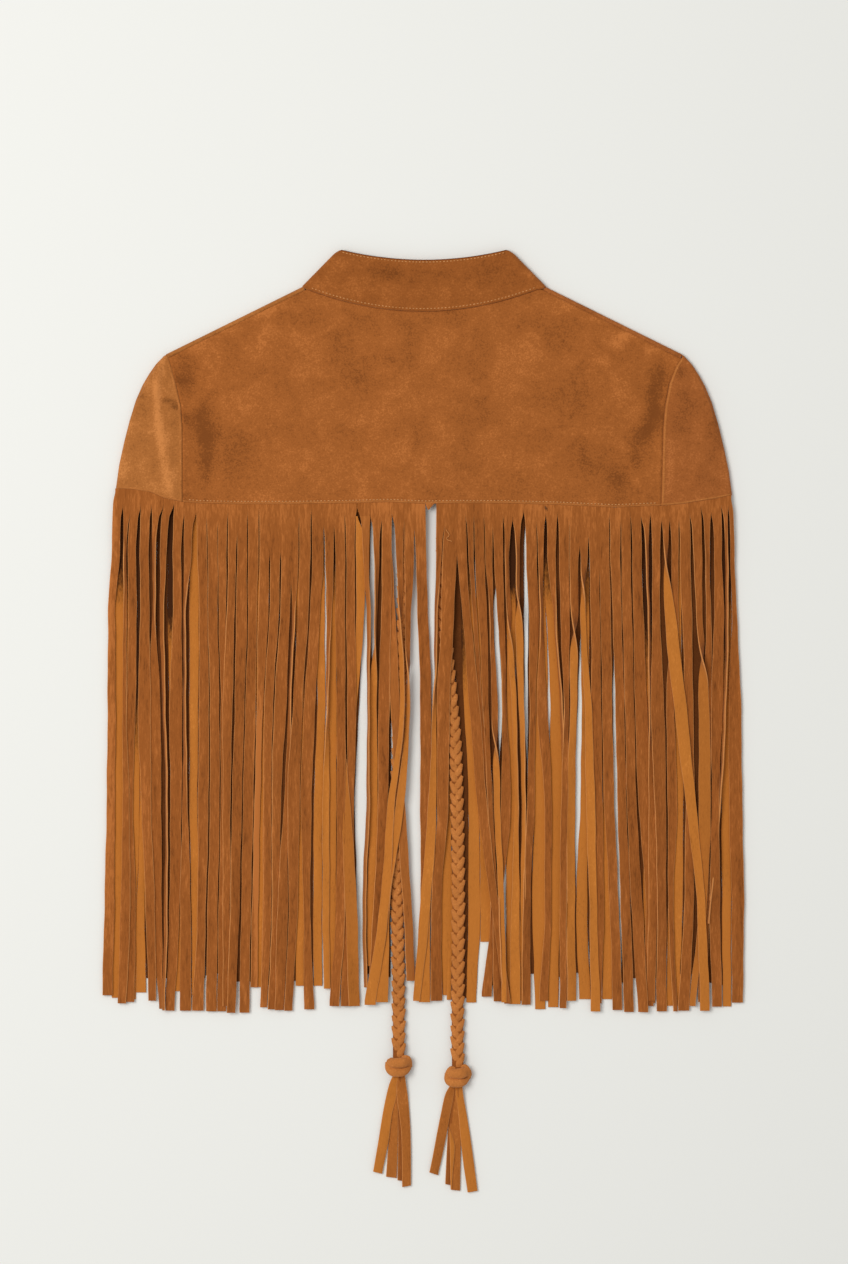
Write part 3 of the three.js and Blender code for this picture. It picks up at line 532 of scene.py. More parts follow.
@dataclass
class Cutting:
    """Points, faces and finishes of one piece while it is being made, in garment millimetres."""

    points: list[Point] = field(default_factory=list)
    faces: list[tuple[int, ...]] = field(default_factory=list)
    finishes: list[int] = field(default_factory=list)

    def grid(self, rows: Sequence[Row], finishes: int | Sequence[int] = 0, ring: bool = False) -> int:
        """Adds a net of four-sided faces through rows of points.

        Args:
            rows: Rows of points, all of one length.
            finishes: One finish, or one for each column of faces.
            ring: Whether each row closes on itself.

        Returns:
            The index of the first point added.
        """
        first = len(self.points)
        count = len(rows[0])
        for row in rows:
            self.points.extend(row)
        columns = count if ring else count - 1
        for i in range(len(rows) - 1):
            a = first + i * count
            for j in range(columns):
                k = (j + 1) % count
                self.faces.append((a + j, a + k, a + count + k, a + count + j))
                self.finishes.append(finishes if isinstance(finishes, int) else finishes[j])
        return first

    def tube(self, rings: Sequence[Row], finishes: int | Sequence[int] = 0, caps: int = 0) -> None:
        """Adds a closed tube through rings of points, with flat ends.

        Args:
            rings: Rings of points, all of one length.
            finishes: One finish, or one for each column of faces.
            caps: Finish of the two ends.
        """
        count = len(rings[0])
        first = self.grid(rings, finishes, ring=True)
        last = first + (len(rings) - 1) * count
        self.faces.append(tuple(range(first + count - 1, first - 1, -1)))
        self.faces.append(tuple(range(last, last + count)))
        self.finishes.extend((caps, caps))

    def wall(self, outside: Sequence[Row], inside: Sequence[Row], slots: tuple[int, int, int]) -> None:
        """Adds a closed wall of cloth between two nets of points.

        Args:
            outside: Rows of points of the outer face.
            inside: Rows of points of the inner face.
            slots: Finishes of the outer face, the inner face and the cut edge.
        """
        rows, columns = len(outside), len(outside[0])
        a = self.grid(outside, slots[0])
        b = self.grid([list(row) for row in inside], slots[1])
        rim = [(0, j) for j in range(columns - 1)]
        rim += [(i, columns - 1) for i in range(rows - 1)]
        rim += [(rows - 1, j) for j in range(columns - 1, 0, -1)]
        rim += [(i, 0) for i in range(rows - 1, 0, -1)]
        for (i, j), (k, m) in zip(rim, rim[1:] + rim[:1]):
            p, q = i * columns + j, k * columns + m
            self.faces.append((a + q, a + p, b + p, b + q))
            self.finishes.append(slots[2])

    def piece(
        self, name: str, finishes: Sequence[Suede], slot: Slot, nodes: Sequence[str] = (), sharp: float = 40.0
    ) -> bpy.types.Object:
        """Makes the piece, with its faces turned out.

        Args:
            name: Name of the piece.
            finishes: Its finishes, in the order of the finish numbers.
            slot: Material slot that it stands for; not used.
            nodes: CAD nodes that it replaces.
            sharp: Angle in degrees above which an edge stays crisp.

        Returns:
            The new object.
        """
        mesh = bpy.data.meshes.new(name)
        mesh.from_pydata([PLACE.point(p) for p in self.points], [], self.faces)
        for finish in finishes:
            mesh.materials.append(finish.material())
        mesh.polygons.foreach_set("material_index", self.finishes)
        shape = bmesh.new()
        shape.from_mesh(mesh)
        bmesh.ops.remove_doubles(shape, verts=shape.verts, dist=1e-6)
        bmesh.ops.recalc_face_normals(shape, faces=shape.faces)
        shape.to_mesh(mesh)
        shape.free()
        mesh.shade_smooth()
        mesh.set_sharp_from_angle(angle=math.radians(sharp))
        piece = place_in_scene(name, mesh)
        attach(piece, "root")
        if nodes:
            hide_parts(*nodes)
        LOG.info("%s: %d faces", name, len(mesh.polygons))
        return piece


def oval(centre: Vector, across: Vector, up: Vector, count: int, floor: float = 0.0) -> Row:
    """A ring of points round an oval.

    Args:
        centre: Its middle.
        across: From the middle to its side.
        up: From the middle to its top.
        count: Points round it.
        floor: Lowest height of a point.

    Returns:
        The points.
    """
    turns = (2 * math.pi * k / count for k in range(count))
    spots = (centre + across * math.cos(a) + up * math.sin(a) for a in turns)
    return [(spot.x, spot.y, max(spot.z, floor)) for spot in spots]


def heading(line: Sequence[Vector], i: int) -> Vector:
    """Direction of a line of points at the i-th one."""
    return (line[min(i + 1, len(line) - 1)] - line[max(i - 1, 0)]).normalized()


def crosswise(ahead: Vector) -> Vector:
    """Direction to the left of a direction, level with the table."""
    return Vector((-ahead.y, ahead.x, 0)).normalized()


# ---- Camera, table and light ----
@dataclass(frozen=True)
class Studio:
    """The pale table, its soft light from the upper left and the camera straight above, in metres."""

    height: float = 3.0
    framed: float = 0.948
    middle: tuple[float, float] = (0.0, -93.75)
    sensor: float = 36.0
    table_half: float = 6.0
    table_top: float = -0.0002
    table_colour: Colour = (0.80, 0.80, 0.775)
    room_colour: Colour = (1.0, 1.0, 0.985)
    room_light: float = 0.56
    window_at: Point = (-1.4, 0.5, 2.6)
    window_size: float = 1.6
    window_power: float = 55.0
    window_colour: Colour = (1.0, 0.995, 0.97)

    def camera(self) -> None:
        """Sets the camera over the middle of the frame."""
        lens = bpy.data.cameras.new("camera")
        lens.sensor_fit = "AUTO"
        lens.sensor_width = self.sensor
        lens.lens = self.sensor * self.height / self.framed
        camera = place_in_scene("camera", lens)
        x, y, _ = PLACE.point((*self.middle, 0.0))
        camera.location = (x, y, self.height)
        bpy.context.scene.camera = camera

    def table(self) -> None:
        """Lays the pale table top under the cape."""
        mesh = bpy.data.meshes.new("table_top")
        half = self.table_half
        corners = [(x, y, self.table_top) for x, y in ((-half, -half), (half, -half), (half, half), (-half, half))]
        mesh.from_pydata(corners, [], [(0, 1, 2, 3)])
        finish = bpy.data.materials.new("table_paint")
        finish.use_nodes = True
        shader = finish.node_tree.nodes["Principled BSDF"]
        shader.inputs["Base Color"].default_value = (*self.table_colour, 1.0)
        shader.inputs["Roughness"].default_value = 0.9
        shader.inputs["Specular IOR Level"].default_value = 0.1
        mesh.materials.append(finish)
        place_in_scene("table_top", mesh)

    def lights(self) -> None:
        """Hangs one large soft light at the upper left and fills the room with pale light."""
        world = bpy.data.worlds.new("room")
        world.use_nodes = True
        background = world.node_tree.nodes["Background"]
        background.inputs["Color"].default_value = (*self.room_colour, 1.0)
        background.inputs["Strength"].default_value = self.room_light
        bpy.context.scene.world = world
        panel = bpy.data.lights.new("window", "AREA")
        panel.shape = "RECTANGLE"
        panel.size = panel.size_y = self.window_size
        panel.energy = self.window_power
        panel.color = self.window_colour
        lamp = place_in_scene("window", panel)
        lamp.location = self.window_at
        lamp.rotation_euler = (-lamp.location).to_track_quat("-Z", "Y").to_euler()

    def set_up(self) -> None:
        """Makes the camera, the table and the light."""
        self.camera()
        self.table()
        self.lights()
        bpy.context.scene.view_settings.view_transform = "Standard"


# ---- Neck ties ----
@dataclass(frozen=True)
class Strip:
    """One strip of a tassel: rows of height, left edge and right edge, from the knot to its cut end."""

    rows: tuple[tuple[float, float, float], ...]
    tilt: float
    low: float
    tone: int


@dataclass(frozen=True)
class Roll:
    """One visible turn of the knot: points from the middle of the knot, and its half width and height."""

    line: tuple[Point, ...]
    wide: float
    high: float


# The last number of a strip is its tone: 0 outer face, 1 inner face, 3 outer face painted in shade.
TASSELS: dict[Side, tuple[Strip, ...]] = {
    Side.LEFT: (
        Strip(((-426, -23, -19), (-440, -23.3, -20.0), (-455, -24.3, -19.4), (-478, -26.7, -19.7),
            (-502.6, -28.5, -20.6)), -1.0, 0.6, 0),
        Strip(((-426, -20, -17), (-440, -20.3, -17.0), (-465, -19.4, -15.0), (-505, -19.9, -16.0)), -0.6, 0.6, 3),
        Strip(((-426, -23.4, -18.6), (-433, -26.2, -20.3), (-440, -28, -20.5), (-455, -31, -23.8),
            (-475, -34.2, -26.5), (-499, -38.3, -31.3)), -1.9, 1.7, 1),
        Strip(((-426, -19.5, -14.3), (-433, -20.3, -13.4), (-440, -20.5, -12.3), (-455, -18.6, -10.9),
            (-470, -17.0, -10.1), (-490, -16.5, -9.8), (-509.2, -16.4, -9.8)), 1.2, 1.7, 0),
    ),
    Side.RIGHT: (
        Strip(((-433, 20, 24), (-445, 19.6, 23.5), (-460, 18.5, 22), (-480, 17.2, 20.5),
            (-508, 15.9, 19.7)), -0.8, 0.6, 3),
        Strip(((-433, 22.5, 26.5), (-440, 23.0, 26.5), (-455, 20.9, 27.3), (-470, 18.9, 27.6), (-490, 19.6, 27.4),
            (-512.2, 20.2, 27.1)), -0.8, 1.1, 0),
        Strip(((-433, 19.8, 23.2), (-440, 15.9, 22.4), (-455, 12.6, 19.7), (-470, 9.6, 17.0), (-485, 6.8, 14.0),
            (-499.8, 3.8, 10.6)), -2.3, 1.7, 0),
        Strip(((-433, 22.8, 28.6), (-440, 23.6, 29.4), (-455, 25.8, 32.0), (-470, 27.1, 34.4), (-490, 29.2, 37.2),
            (-513.2, 32.6, 40.2)), 1.2, 1.7, 1),
        Strip(((-466, 19.0, 19.8), (-480, 19.4, 23.2), (-496, 19.6, 21.9), (-511.4, 19.9, 20.9)), -0.2, 2.3, 1),
    ),
}  # fmt: skip
ROLLS: dict[Side, tuple[Roll, ...]] = {
    Side.LEFT: (
        Roll(((-7.4, 2.6, 3.4), (-7.2, -0.2, 4.6), (-5.8, -2.9, 6.4), (-2.6, -4.3, 7.6), (1.4, -4.3, 7.6),
            (5.0, -3.1, 6.2), (7.3, -0.6, 3.8)), 3.6, 2.6),
        Roll(((-7.4, 2.4, 3.4), (-6.0, 2.3, 5.6), (-2.6, 2.4, 8.2), (1.6, 2.8, 8.6), (5.0, 2.8, 6.9),
            (7.0, 1.5, 4.4), (7.4, -0.8, 2.6)), 3.9, 2.8),
        Roll(((2.4, 6.6, 5.2), (4.6, 7.0, 5.8), (7.2, 6.2, 5.6), (8.5, 3.6, 4.8), (8.8, 1.0, 3.6),
            (7.6, -0.8, 2.8)), 1.5, 1.6),
        Roll(((-3.4, 5.2, 5.6), (-5.4, 4.9, 5.4), (-7.4, 3.0, 4.6), (-8.4, 0.6, 3.6), (-8.0, -2.6, 2.8)), 1.6, 1.7),
    ),
    Side.RIGHT: (
        Roll(((-7.0, 1.4, 3.4), (-7.0, -1.6, 4.6), (-6.0, -4.0, 6.2), (-2.8, -5.2, 7.5), (1.0, -5.3, 7.5),
            (4.4, -4.3, 6.2), (6.4, -2.2, 3.8)), 3.6, 2.6),
        Roll(((-6.6, 2.2, 3.4), (-5.2, 1.7, 5.8), (-1.8, 1.5, 8.3), (2.4, 1.9, 8.6), (5.4, 2.5, 6.8),
            (7.2, 0.8, 4.4), (6.8, -2.0, 2.6)), 4.0, 2.8),
        Roll(((2.6, 6.2, 5.2), (5.2, 7.0, 5.8), (7.6, 4.6, 5.6), (8.8, 1.6, 4.8), (7.8, -2.0, 3.8),
            (5.4, -6.2, 2.6)), 1.7, 1.8),
        Roll(((-2.0, 5.0, 6.0), (-4.2, 5.6, 5.6), (-6.6, 3.6, 4.8), (-7.8, 0.4, 3.8), (-7.8, -3.4, 2.8)), 1.7, 1.8),
    ),
}  # fmt: skip


def sweep(cut: Cutting, line: Sequence[Vector], half: tuple[float, float], least: float, sides: int) -> None:
    """Runs a rounded strip along a line, drawn in towards its ends.

    Args:
        cut: Where the strip goes.
        line: Points along the middle of the strip.
        half: Half its width and half its height at the middle.
        least: Share of its size left at the ends.
        sides: Points round it.
    """
    rings = []
    for i, point in enumerate(line):
        ahead = heading(line, i)
        beside = crosswise(ahead)
        up = ahead.cross(beside)
        size = least + (1.0 - least) * math.sin(math.pi * min(max(i / (len(line) - 1), 0.06), 0.94))
        rings.append(oval(point, beside * (half[0] * size), up * (half[1] * size), sides, 0.05))
    cut.tube(rings)


@dataclass(frozen=True)
class NeckTie:
    """A plaited tie with its knot and its tassel, in garment millimetres."""

    side: Side
    knot_half: tuple[float, float, float] = (9.5, 8.7, 6.0)
    heart_inside: tuple[float, float, float] = (2.4, 1.6, 1.9)
    core_half: tuple[float, float] = (4.3, 1.9)
    core_below: float = 2.5
    into_knot: int = 5
    stitch_apart: float = 4.35
    stitch_long: float = 12.0
    stitch_half: tuple[float, float] = (2.65, 1.3)
    tassel_rings: int = 34

    def centreline(self, step: float = 1.0) -> list[Vector]:
        """Points along the tie, evenly spaced on a smooth curve."""
        route = [Vector(p) / MM for p in TIE_ROUTE[self.side]]
        route = [route[0], *route, route[-1]]
        fine: list[Vector] = []
        for a, b, c, d in zip(route, route[1:], route[2:], route[3:]):
            for t in (k / 24 for k in range(24)):
                bend = (2 * a - 5 * b + 4 * c - d) * t**2 + (3 * b - a - 3 * c + d) * t**3
                fine.append(0.5 * (2 * b + (c - a) * t + bend))
        fine.append(route[-1])
        out, carried = [fine[0]], 0.0
        for a, b in zip(fine, fine[1:]):
            run = (b - a).length
            while carried + run >= step:
                a = a + (b - a) * ((step - carried) / run)
                run = (b - a).length
                out.append(a)
                carried = 0.0
            carried += run
        return out

    def plait(self) -> bpy.types.Object:
        """Plaits the tie: strips that cross from both edges over a flat core painted dark as shade, and run on into the
        knot.

        Returns:
            The plait.
        """
        middle = self.centreline()
        along = (middle[-1] - middle[-3]).normalized()
        middle += [middle[-1] + along * k for k in range(1, self.into_knot + 1)]
        last = len(middle) - 1
        outs = [-crosswise(heading(middle, i)) for i in range(last + 1)]
        cut = Cutting()
        wide, high = self.core_half
        turns = [2 * math.pi * k / 16 for k in range(16)]
        core = [(wide * math.cos(a), math.sin(a) * (high if a < math.pi else self.core_below)) for a in turns]
        rings = [[p + out * x + Vector((0, 0, z)) for x, z in core] for p, out in zip(middle, outs)]
        # The core shows between the strips, painted dark as shade.
        cut.tube([[(q.x, q.y, max(q.z, 0.06)) for q in ring] for ring in rings], 1, 1)
        rng = random.Random(9)
        edge = TIE_WIDTH / 2 - 1.0
        foot = last - self.into_knot - 0.5
        for n in range(int((last - 2 * self.into_knot) / self.stitch_apart), -1, -1):
            way = 1 if n % 2 else -1
            line = []
            for t in (k / 8 for k in range(9)):
                at = min(max(int(round(foot - n * self.stitch_apart + (t - 0.5) * self.stitch_long)), 0), last)
                across = way * mix(edge, -1.5, t**1.15) + rng.uniform(-0.05, 0.05)
                rise = mix(0.1, 0.75, t) + 0.8 * math.sin(math.pi * min(t * 1.05, 1.0)) - 1.0 * t**4
                line.append(middle[at] + outs[at] * across + Vector((0, 0, rise)))
            sweep(cut, line, self.stitch_half, 0.62, 12)
        label = self.side.label
        return cut.piece(f"plait_{label}", [BRAID, BRAID_PAINTED_SHADE], Slot.BRAID, [f"tie_{label}"], 70.0)

    def knot(self) -> bpy.types.Object:
        """Ties the overhand knot: its visible turns over a heart painted dark as shade.

        Returns:
            The knot.
        """
        end = Vector(TIE_ROUTE[self.side][-1]) / MM
        wide, long, high = (half - inside for half, inside in zip(self.knot_half, self.heart_inside))
        centre = Vector((end.x, end.y - self.knot_half[1] - SEAM, 0.0))
        cut = Cutting()
        rings = []
        for a in (math.pi * i / 16 for i in range(1, 16)):
            middle = centre + Vector((0, math.cos(a) * long, self.knot_half[2] - 1.2))
            rings.append(oval(middle, Vector((math.sin(a) * wide, 0, 0)), Vector((0, 0, math.sin(a) * high)), 24))
        # The heart shows between the turns, painted dark as shade.
        cut.tube(rings, 1, 1)
        for roll in ROLLS[self.side]:
            ways = [smooth_curve([(float(k), p[axis]) for k, p in enumerate(roll.line)]) for axis in range(3)]
            count = 8 * (len(roll.line) - 1)
            line = [centre + Vector([way(i / 8) for way in ways]) for i in range(count + 1)]
            sweep(cut, line, (roll.wide, roll.high), 0.72, 14)
        label = self.side.label
        return cut.piece(f"tied_knot_{label}", [BRAID, BRAID_PAINTED_SHADE], Slot.BRAID, [f"knot_{label}"], 70.0)

    def tassel(self) -> bpy.types.Object:
        """Spreads the strips of the tassel below the knot.

        Returns:
            The tassel.
        """
        cut = Cutting()
        for number, strip in enumerate(TASSELS[self.side]):
            rows = sorted(strip.rows)
            left_at, right_at = (smooth_curve([(row[0], row[side]) for row in rows]) for side in (1, 2))
            top, foot = rows[-1][0], rows[0][0]
            root = 3.4 if top > -440.0 else 1.4
            rings = []
            for i in range(self.tassel_rings + 1):
                t = i / self.tassel_rings
                y = mix(top, foot, t)
                left, right = left_at(y), right_at(y)
                half, x = (right - left) / 2, (left + right) / 2
                z = mix(root, strip.low, ease(t * 3.2)) + 0.15 * math.sin(7 * t + number) * ease(t * 4)
                slope = strip.tilt / 2 if i == self.tassel_rings else 0.0
                curl = 0.3 * math.sin(3 * t + number)
                rim = min(0.35, half * 0.4) / half
                over = ((-1, -0.3), (-1, 0.2), (rim - 1, 0.55), (-0.4, 0.68), (0.4, 0.68), (1 - rim, 0.55), (1, 0.2))
                under = ((1, -0.3), (1 - rim, -0.5), (0.3, -0.5), (-0.3, -0.5), (rim - 1, -0.5))
                section = (*over, *under)
                rings.append([(x + u * half, y + u * slope, max(z + w + curl * u, 0.04)) for u, w in section])
            face = strip.tone
            cut.tube(rings, (2, 2, face, face, face, 2, 2, 2, face, face, face, 2), 2)
        label = self.side.label
        skins = [TASSEL, INNER, EDGE, TASSEL_PAINTED_SHADE]
        return cut.piece(f"tassel_strips_{label}", skins, Slot.BRAID, [f"tassel_{label}"])

    def make(self) -> None:
        plait, knot, tassel = self.plait(), self.knot(), self.tassel()
        path = [PLACE.point(tuple(p)) for p in self.centreline(4.0)]


# ---- Panels ----
def spaced(start: float, end: float, step: float, fine: float = 0.0) -> list[float]:
    """Places from start to end about a step apart, closer beside the two ends.

    Args:
        start: First place.
        end: Last place.
        step: Distance between places.
        fine: Width beside each end that gets closer places, or 0.

    Returns:
        The places in order.
    """
    sign = 1.0 if end > start else -1.0
    run = abs(end - start)
    inner = [fine * k for k in (0.0, 0.15, 0.32, 0.5, 0.72, 0.9)] if fine else [0.0]
    count = max(round((run - 2 * fine) / step), 1)
    middle = [fine + (run - 2 * fine) * k / count for k in range(count + 1)]
    places = sorted({round(v, 4) for v in [*inner, *middle, *(run - v for v in inner)]})
    return [start + sign * v for v in places]


def seam_roll(distance: float, deep: float = 0.65, wide: float = 1.3) -> float:
    """How far the cloth rolls down towards a seam at a distance from it."""
    return -deep * bell(distance / wide)


def ridge(distance: float, at: float, wide: float) -> float:
    """Share of a soft ridge's height at a distance from a seam that it runs beside."""
    return bell((distance - at) / wide)


def worn(x: float, y: float) -> float:
    """How far the creases of wear raise the cloth at a point."""
    return sum(crease.at(x, y) for crease in WEAR_CREASES)


def unevenness(x: float, y: float) -> float:
    """The slight unevenness of worn suede lying flat."""
    return (
        0.16 * math.sin(x / 17.0 + 1.3 * math.sin(y / 23.0))
        + 0.13 * math.sin(y / 14.0 + 1.1 * math.sin(x / 31.0) + 0.7)
        + 0.07 * math.sin(x / 6.3 + y / 9.1)
    )


@dataclass(frozen=True)
class BackYoke:
    """The back yoke, one piece from sleeve seam to sleeve seam."""

    step: float = 2.6
    fine: float = 2.2
    side_gap: float = 0.12
    top_gap: float = 0.08
    hem_ridge: float = 0.45
    seam_ridge: float = 0.25
    cut_area: float = 0.0521

    def edge(self, side: Side, y: float) -> float:
        """Distance of the yoke's side edge from the middle."""
        return sleeve_seam_x(side, y) - self.side_gap

    def top(self, x: float) -> float:
        """Height of the yoke's top edge."""
        drop = (SHOULDER_STRIP + self.top_gap) * SHOULDER_RUN
        return min(back_neck_y(x) - self.top_gap, shoulder_y(x) - drop)

    def net(self) -> list[list[tuple[float, float, float, float]]]:
        """Rows of x, y, distance to the hem and distance to the nearest other edge."""
        ends = {side: self.edge(side, 0.0) for side in Side}
        corners = {side: self.top(look_up(SLEEVE_SEAM[side.value], SLEEVE_TOP)) for side in Side}
        places = spaced(-ends[Side.LEFT], ends[Side.RIGHT], self.step, self.fine)
        rows = []
        for v in spaced(0.0, 1.0, self.step / 155, self.fine / 155):
            row = []
            for place in places:
                side = Side.LEFT if place < 0 else Side.RIGHT
                u = place / ends[side]
                edge = self.edge(side, v * corners[side])
                low, high = hem_y(place), self.top(u * self.edge(side, corners[side]))
                x, y = u * edge, mix(low, high, v)
                row.append((x, y, y - low, min(high - y, edge - abs(x))))
            rows.append(row)
        return rows

    def make(self) -> None:
        """Makes the yoke with its creases and rolled seams."""
        net = self.net()
        under, over = [], []
        for row in net:
            low_row, high_row = [], []
            for x, y, to_hem, to_edge in row:
                z = lift(x, y) + worn(x, y) + unevenness(x, y) * ease(min(to_hem, to_edge) / 12.0)
                z += self.hem_ridge * ridge(to_hem, 1.0, 0.9) + self.seam_ridge * ridge(to_edge, 1.6, 1.3)
                low_row.append((x, y, z + seam_roll(min(to_hem, to_edge), 0.35)))
                high_row.append((x, y, z + SUEDE + seam_roll(to_hem, 0.3, 0.6) + seam_roll(to_edge, 0.35, 0.7)))
            under.append(low_row)
            over.append(high_row)
        cut = Cutting()
        cut.wall(over, under, (0, 1, 2))
        columns = len(net[0]) - 1
        # Rows along the hem ridge get rubbed wear and a painted highlight.
        wear_and_highlight_rows = [k for k, row in enumerate(net) if 0.3 < row[columns // 2][2] < 1.7][:-1]
        for k in wear_and_highlight_rows:
            cut.finishes[k * columns : (k + 1) * columns] = [3] * columns
        piece = cut.piece("back_yoke_panel", [YOKE, INNER, SEAM_SHADOW, SEAM_WEAR_AND_HIGHLIGHT], Slot.OUTER, ["back_yoke"])


@dataclass(frozen=True)
class SleeveCap:
    """A sleeve cap, wrapped from the back over its outer fold to the front."""

    side: Side
    cut_area: float
    rows: int = 48
    across: int = 16
    round_steps: int = 12
    fine: float = 2.2
    crown_room: float = 195.8
    hem_ridge: float = 0.45
    seam_ridge: float = 0.35

    def section(self, t: float, offset: float) -> Row:
        """One section across the cap, from the front over the fold to the back.

        Args:
            t: Share of the way up the cap.
            offset: 0 for the outer face, the cloth's thickness for the inner one.

        Returns:
            Its points.
        """
        sign = self.side.value
        y = t * SLEEVE_TOP
        seam, centre = sleeve_seam_x(self.side, y), sleeve_fold_x(y) - FOLD
        fine = min(2.0, (centre - seam) / 3)
        flat = [seam + fine * k / 3 for k in range(3)]
        flat += [mix(seam + fine, centre, k / self.across) for k in range(self.across + 1)]

        def height(x: float) -> float:
            """Height on the garment of a point that far out."""
            crown = ease((t - 0.78) / 0.22) * max(self.crown_room - x, 0.0) * SHOULDER_SLOPE
            return mix(hem_y(sign * x), SLEEVE_TOP, t) + crown

        row: Row = [(sign * x, height(x), offset) for x in flat]
        for a in (math.pi * k / self.round_steps for k in range(1, self.round_steps)):
            x = centre + (FOLD - offset) * math.sin(a)
            row.append((sign * x, height(x), FOLD - (FOLD - offset) * math.cos(a)))
        for x in reversed(flat):
            here = height(x)
            up, beside = here - hem_y(sign * x), x - seam
            z = lift(sign * x, y) + worn(sign * x, here)
            z += unevenness(sign * x, here) * ease(min(beside, up) / 8.0) * ease((centre - x) / 6.0)
            roll = seam_roll(beside, 0.5, 0.8) + seam_roll(up, 0.3, 0.6)
            roll += self.seam_ridge * ridge(beside, 1.3, 1.3) + self.hem_ridge * ridge(up, 1.1, 1.1)
            row.append((sign * x, here, z + (roll * 0.5 if offset else SUEDE + roll)))
        return row

    def make(self) -> None:
        """Makes the cap."""
        label = self.side.label
        levels = spaced(0.0, 1.0, 1 / self.rows, self.fine / SLEEVE_TOP)
        outside, inside = ([self.section(t, offset) for t in levels] for offset in (0.0, SUEDE))
        cut = Cutting()
        cut.wall(outside, inside, (0, 1, 2))
        columns = len(outside[0]) - 1
        # Faces beside the seam and the hem get rubbed wear and a painted highlight.
        for i, level in enumerate(levels[:-1]):
            for j in range(columns):
                beside_seam = j in (columns - 3, columns - 2) and level * SLEEVE_TOP > 2.0
                beside_hem = j > self.across + self.round_steps and 0.25 < level * SLEEVE_TOP < 1.5
                if beside_seam or beside_hem:
                    cut.finishes[i * columns + j] = 3
        skins = [SLEEVES[self.side], INNER, SEAM_SHADOW, SEAM_WEAR_AND_HIGHLIGHT]
        piece = cut.piece(f"sleeve_cap_{label}", skins, Slot.OUTER, [f"sleeve_{label}"])


@dataclass(frozen=True)
class FrontPanel:
    """A front, flat on the table under the back, wrapped over the shoulder to meet the yoke."""

    side: Side
    cut_area: float = 0.0206
    step: float = 3.6
    fine: float = 1.2
    corner_drop: float = 2.0
    lip_ends: tuple[float, float] = (90.7, 193.4)
    lip_rows: int = 44

    def top(self, x: float) -> float:
        """Height of the front's top edge: the neckline, then the inner end of the wrapped edge."""
        if x < NECK_X:
            share = min(x / (NECK_X + SEAM), 1.0)
            return NECK_Y - (FRONT_NECK_DROP + SEAM) * math.sqrt(1.0 - share * share)
        return shoulder_y(x) - LIP_ROOT * SHOULDER_RUN

    def flat(self, offset: float) -> list[Row]:
        """Rows of points of the flat part."""
        sign = self.side.value
        low_edge = sleeve_seam_x(self.side, 0.0) - SEAM
        head = sleeve_seam_x(self.side, SLEEVE_TOP - self.corner_drop) - SEAM
        at_neck = (NECK_X * k for k in (0.93, 0.97, 0.99))
        shares = [
            (place - FRONT_EDGE) / (low_edge - FRONT_EDGE)
            for place in sorted({*spaced(FRONT_EDGE, low_edge, self.step, self.fine), *at_neck})
        ]
        rows = []
        for v in spaced(0.0, 1.0, self.step / 120, self.fine / 120):
            edge = sleeve_seam_x(self.side, v * (SLEEVE_TOP - self.corner_drop)) - SEAM
            row = []
            for u in shares:
                x = mix(FRONT_EDGE, edge, u)
                row.append((sign * x, mix(hem_y(sign * x), self.top(mix(FRONT_EDGE, head, u)), v), offset))
            rows.append(row)
        return rows

    def lip(self, offset: float) -> list[Row]:
        """Rows of points of the edge that wraps over the shoulder."""
        section = [(LIP_ROOT + 1.5, offset), (LIP_ROOT, offset)]
        for a in (math.pi * k / 12 for k in range(13)):
            section.append((FOLD - (FOLD - offset) * math.sin(a), FOLD - (FOLD - offset) * math.cos(a)))
        for by in (2.6, 2.9, SHOULDER_STRIP):
            section.append((by, LOFT + SUEDE - offset - (0.0 if offset else 0.5 * ease((by - 2.4) / 0.8))))
        rows = []
        for x in (mix(*self.lip_ends, k / self.lip_rows) for k in range(self.lip_rows + 1)):
            outs = ((x - SHOULDER_SLOPE / SHOULDER_RUN * by, shoulder_y(x) - by / SHOULDER_RUN, z) for by, z in section)
            rows.append([(self.side.value * out, y, z) for out, y, z in outs])
        return rows

    def make(self) -> None:
        """Makes the front."""
        label = self.side.label
        cut = Cutting()
        cut.wall(self.flat(0.0), self.flat(SUEDE), (0, 1, 2))
        cut.wall(self.lip(0.0), self.lip(SUEDE), (0, 1, 0))
        skins = [SLEEVES[self.side], INNER, EDGE]
        piece = cut.piece(f"front_panel_{label}", skins, Slot.OUTER, [f"front_{label}"])


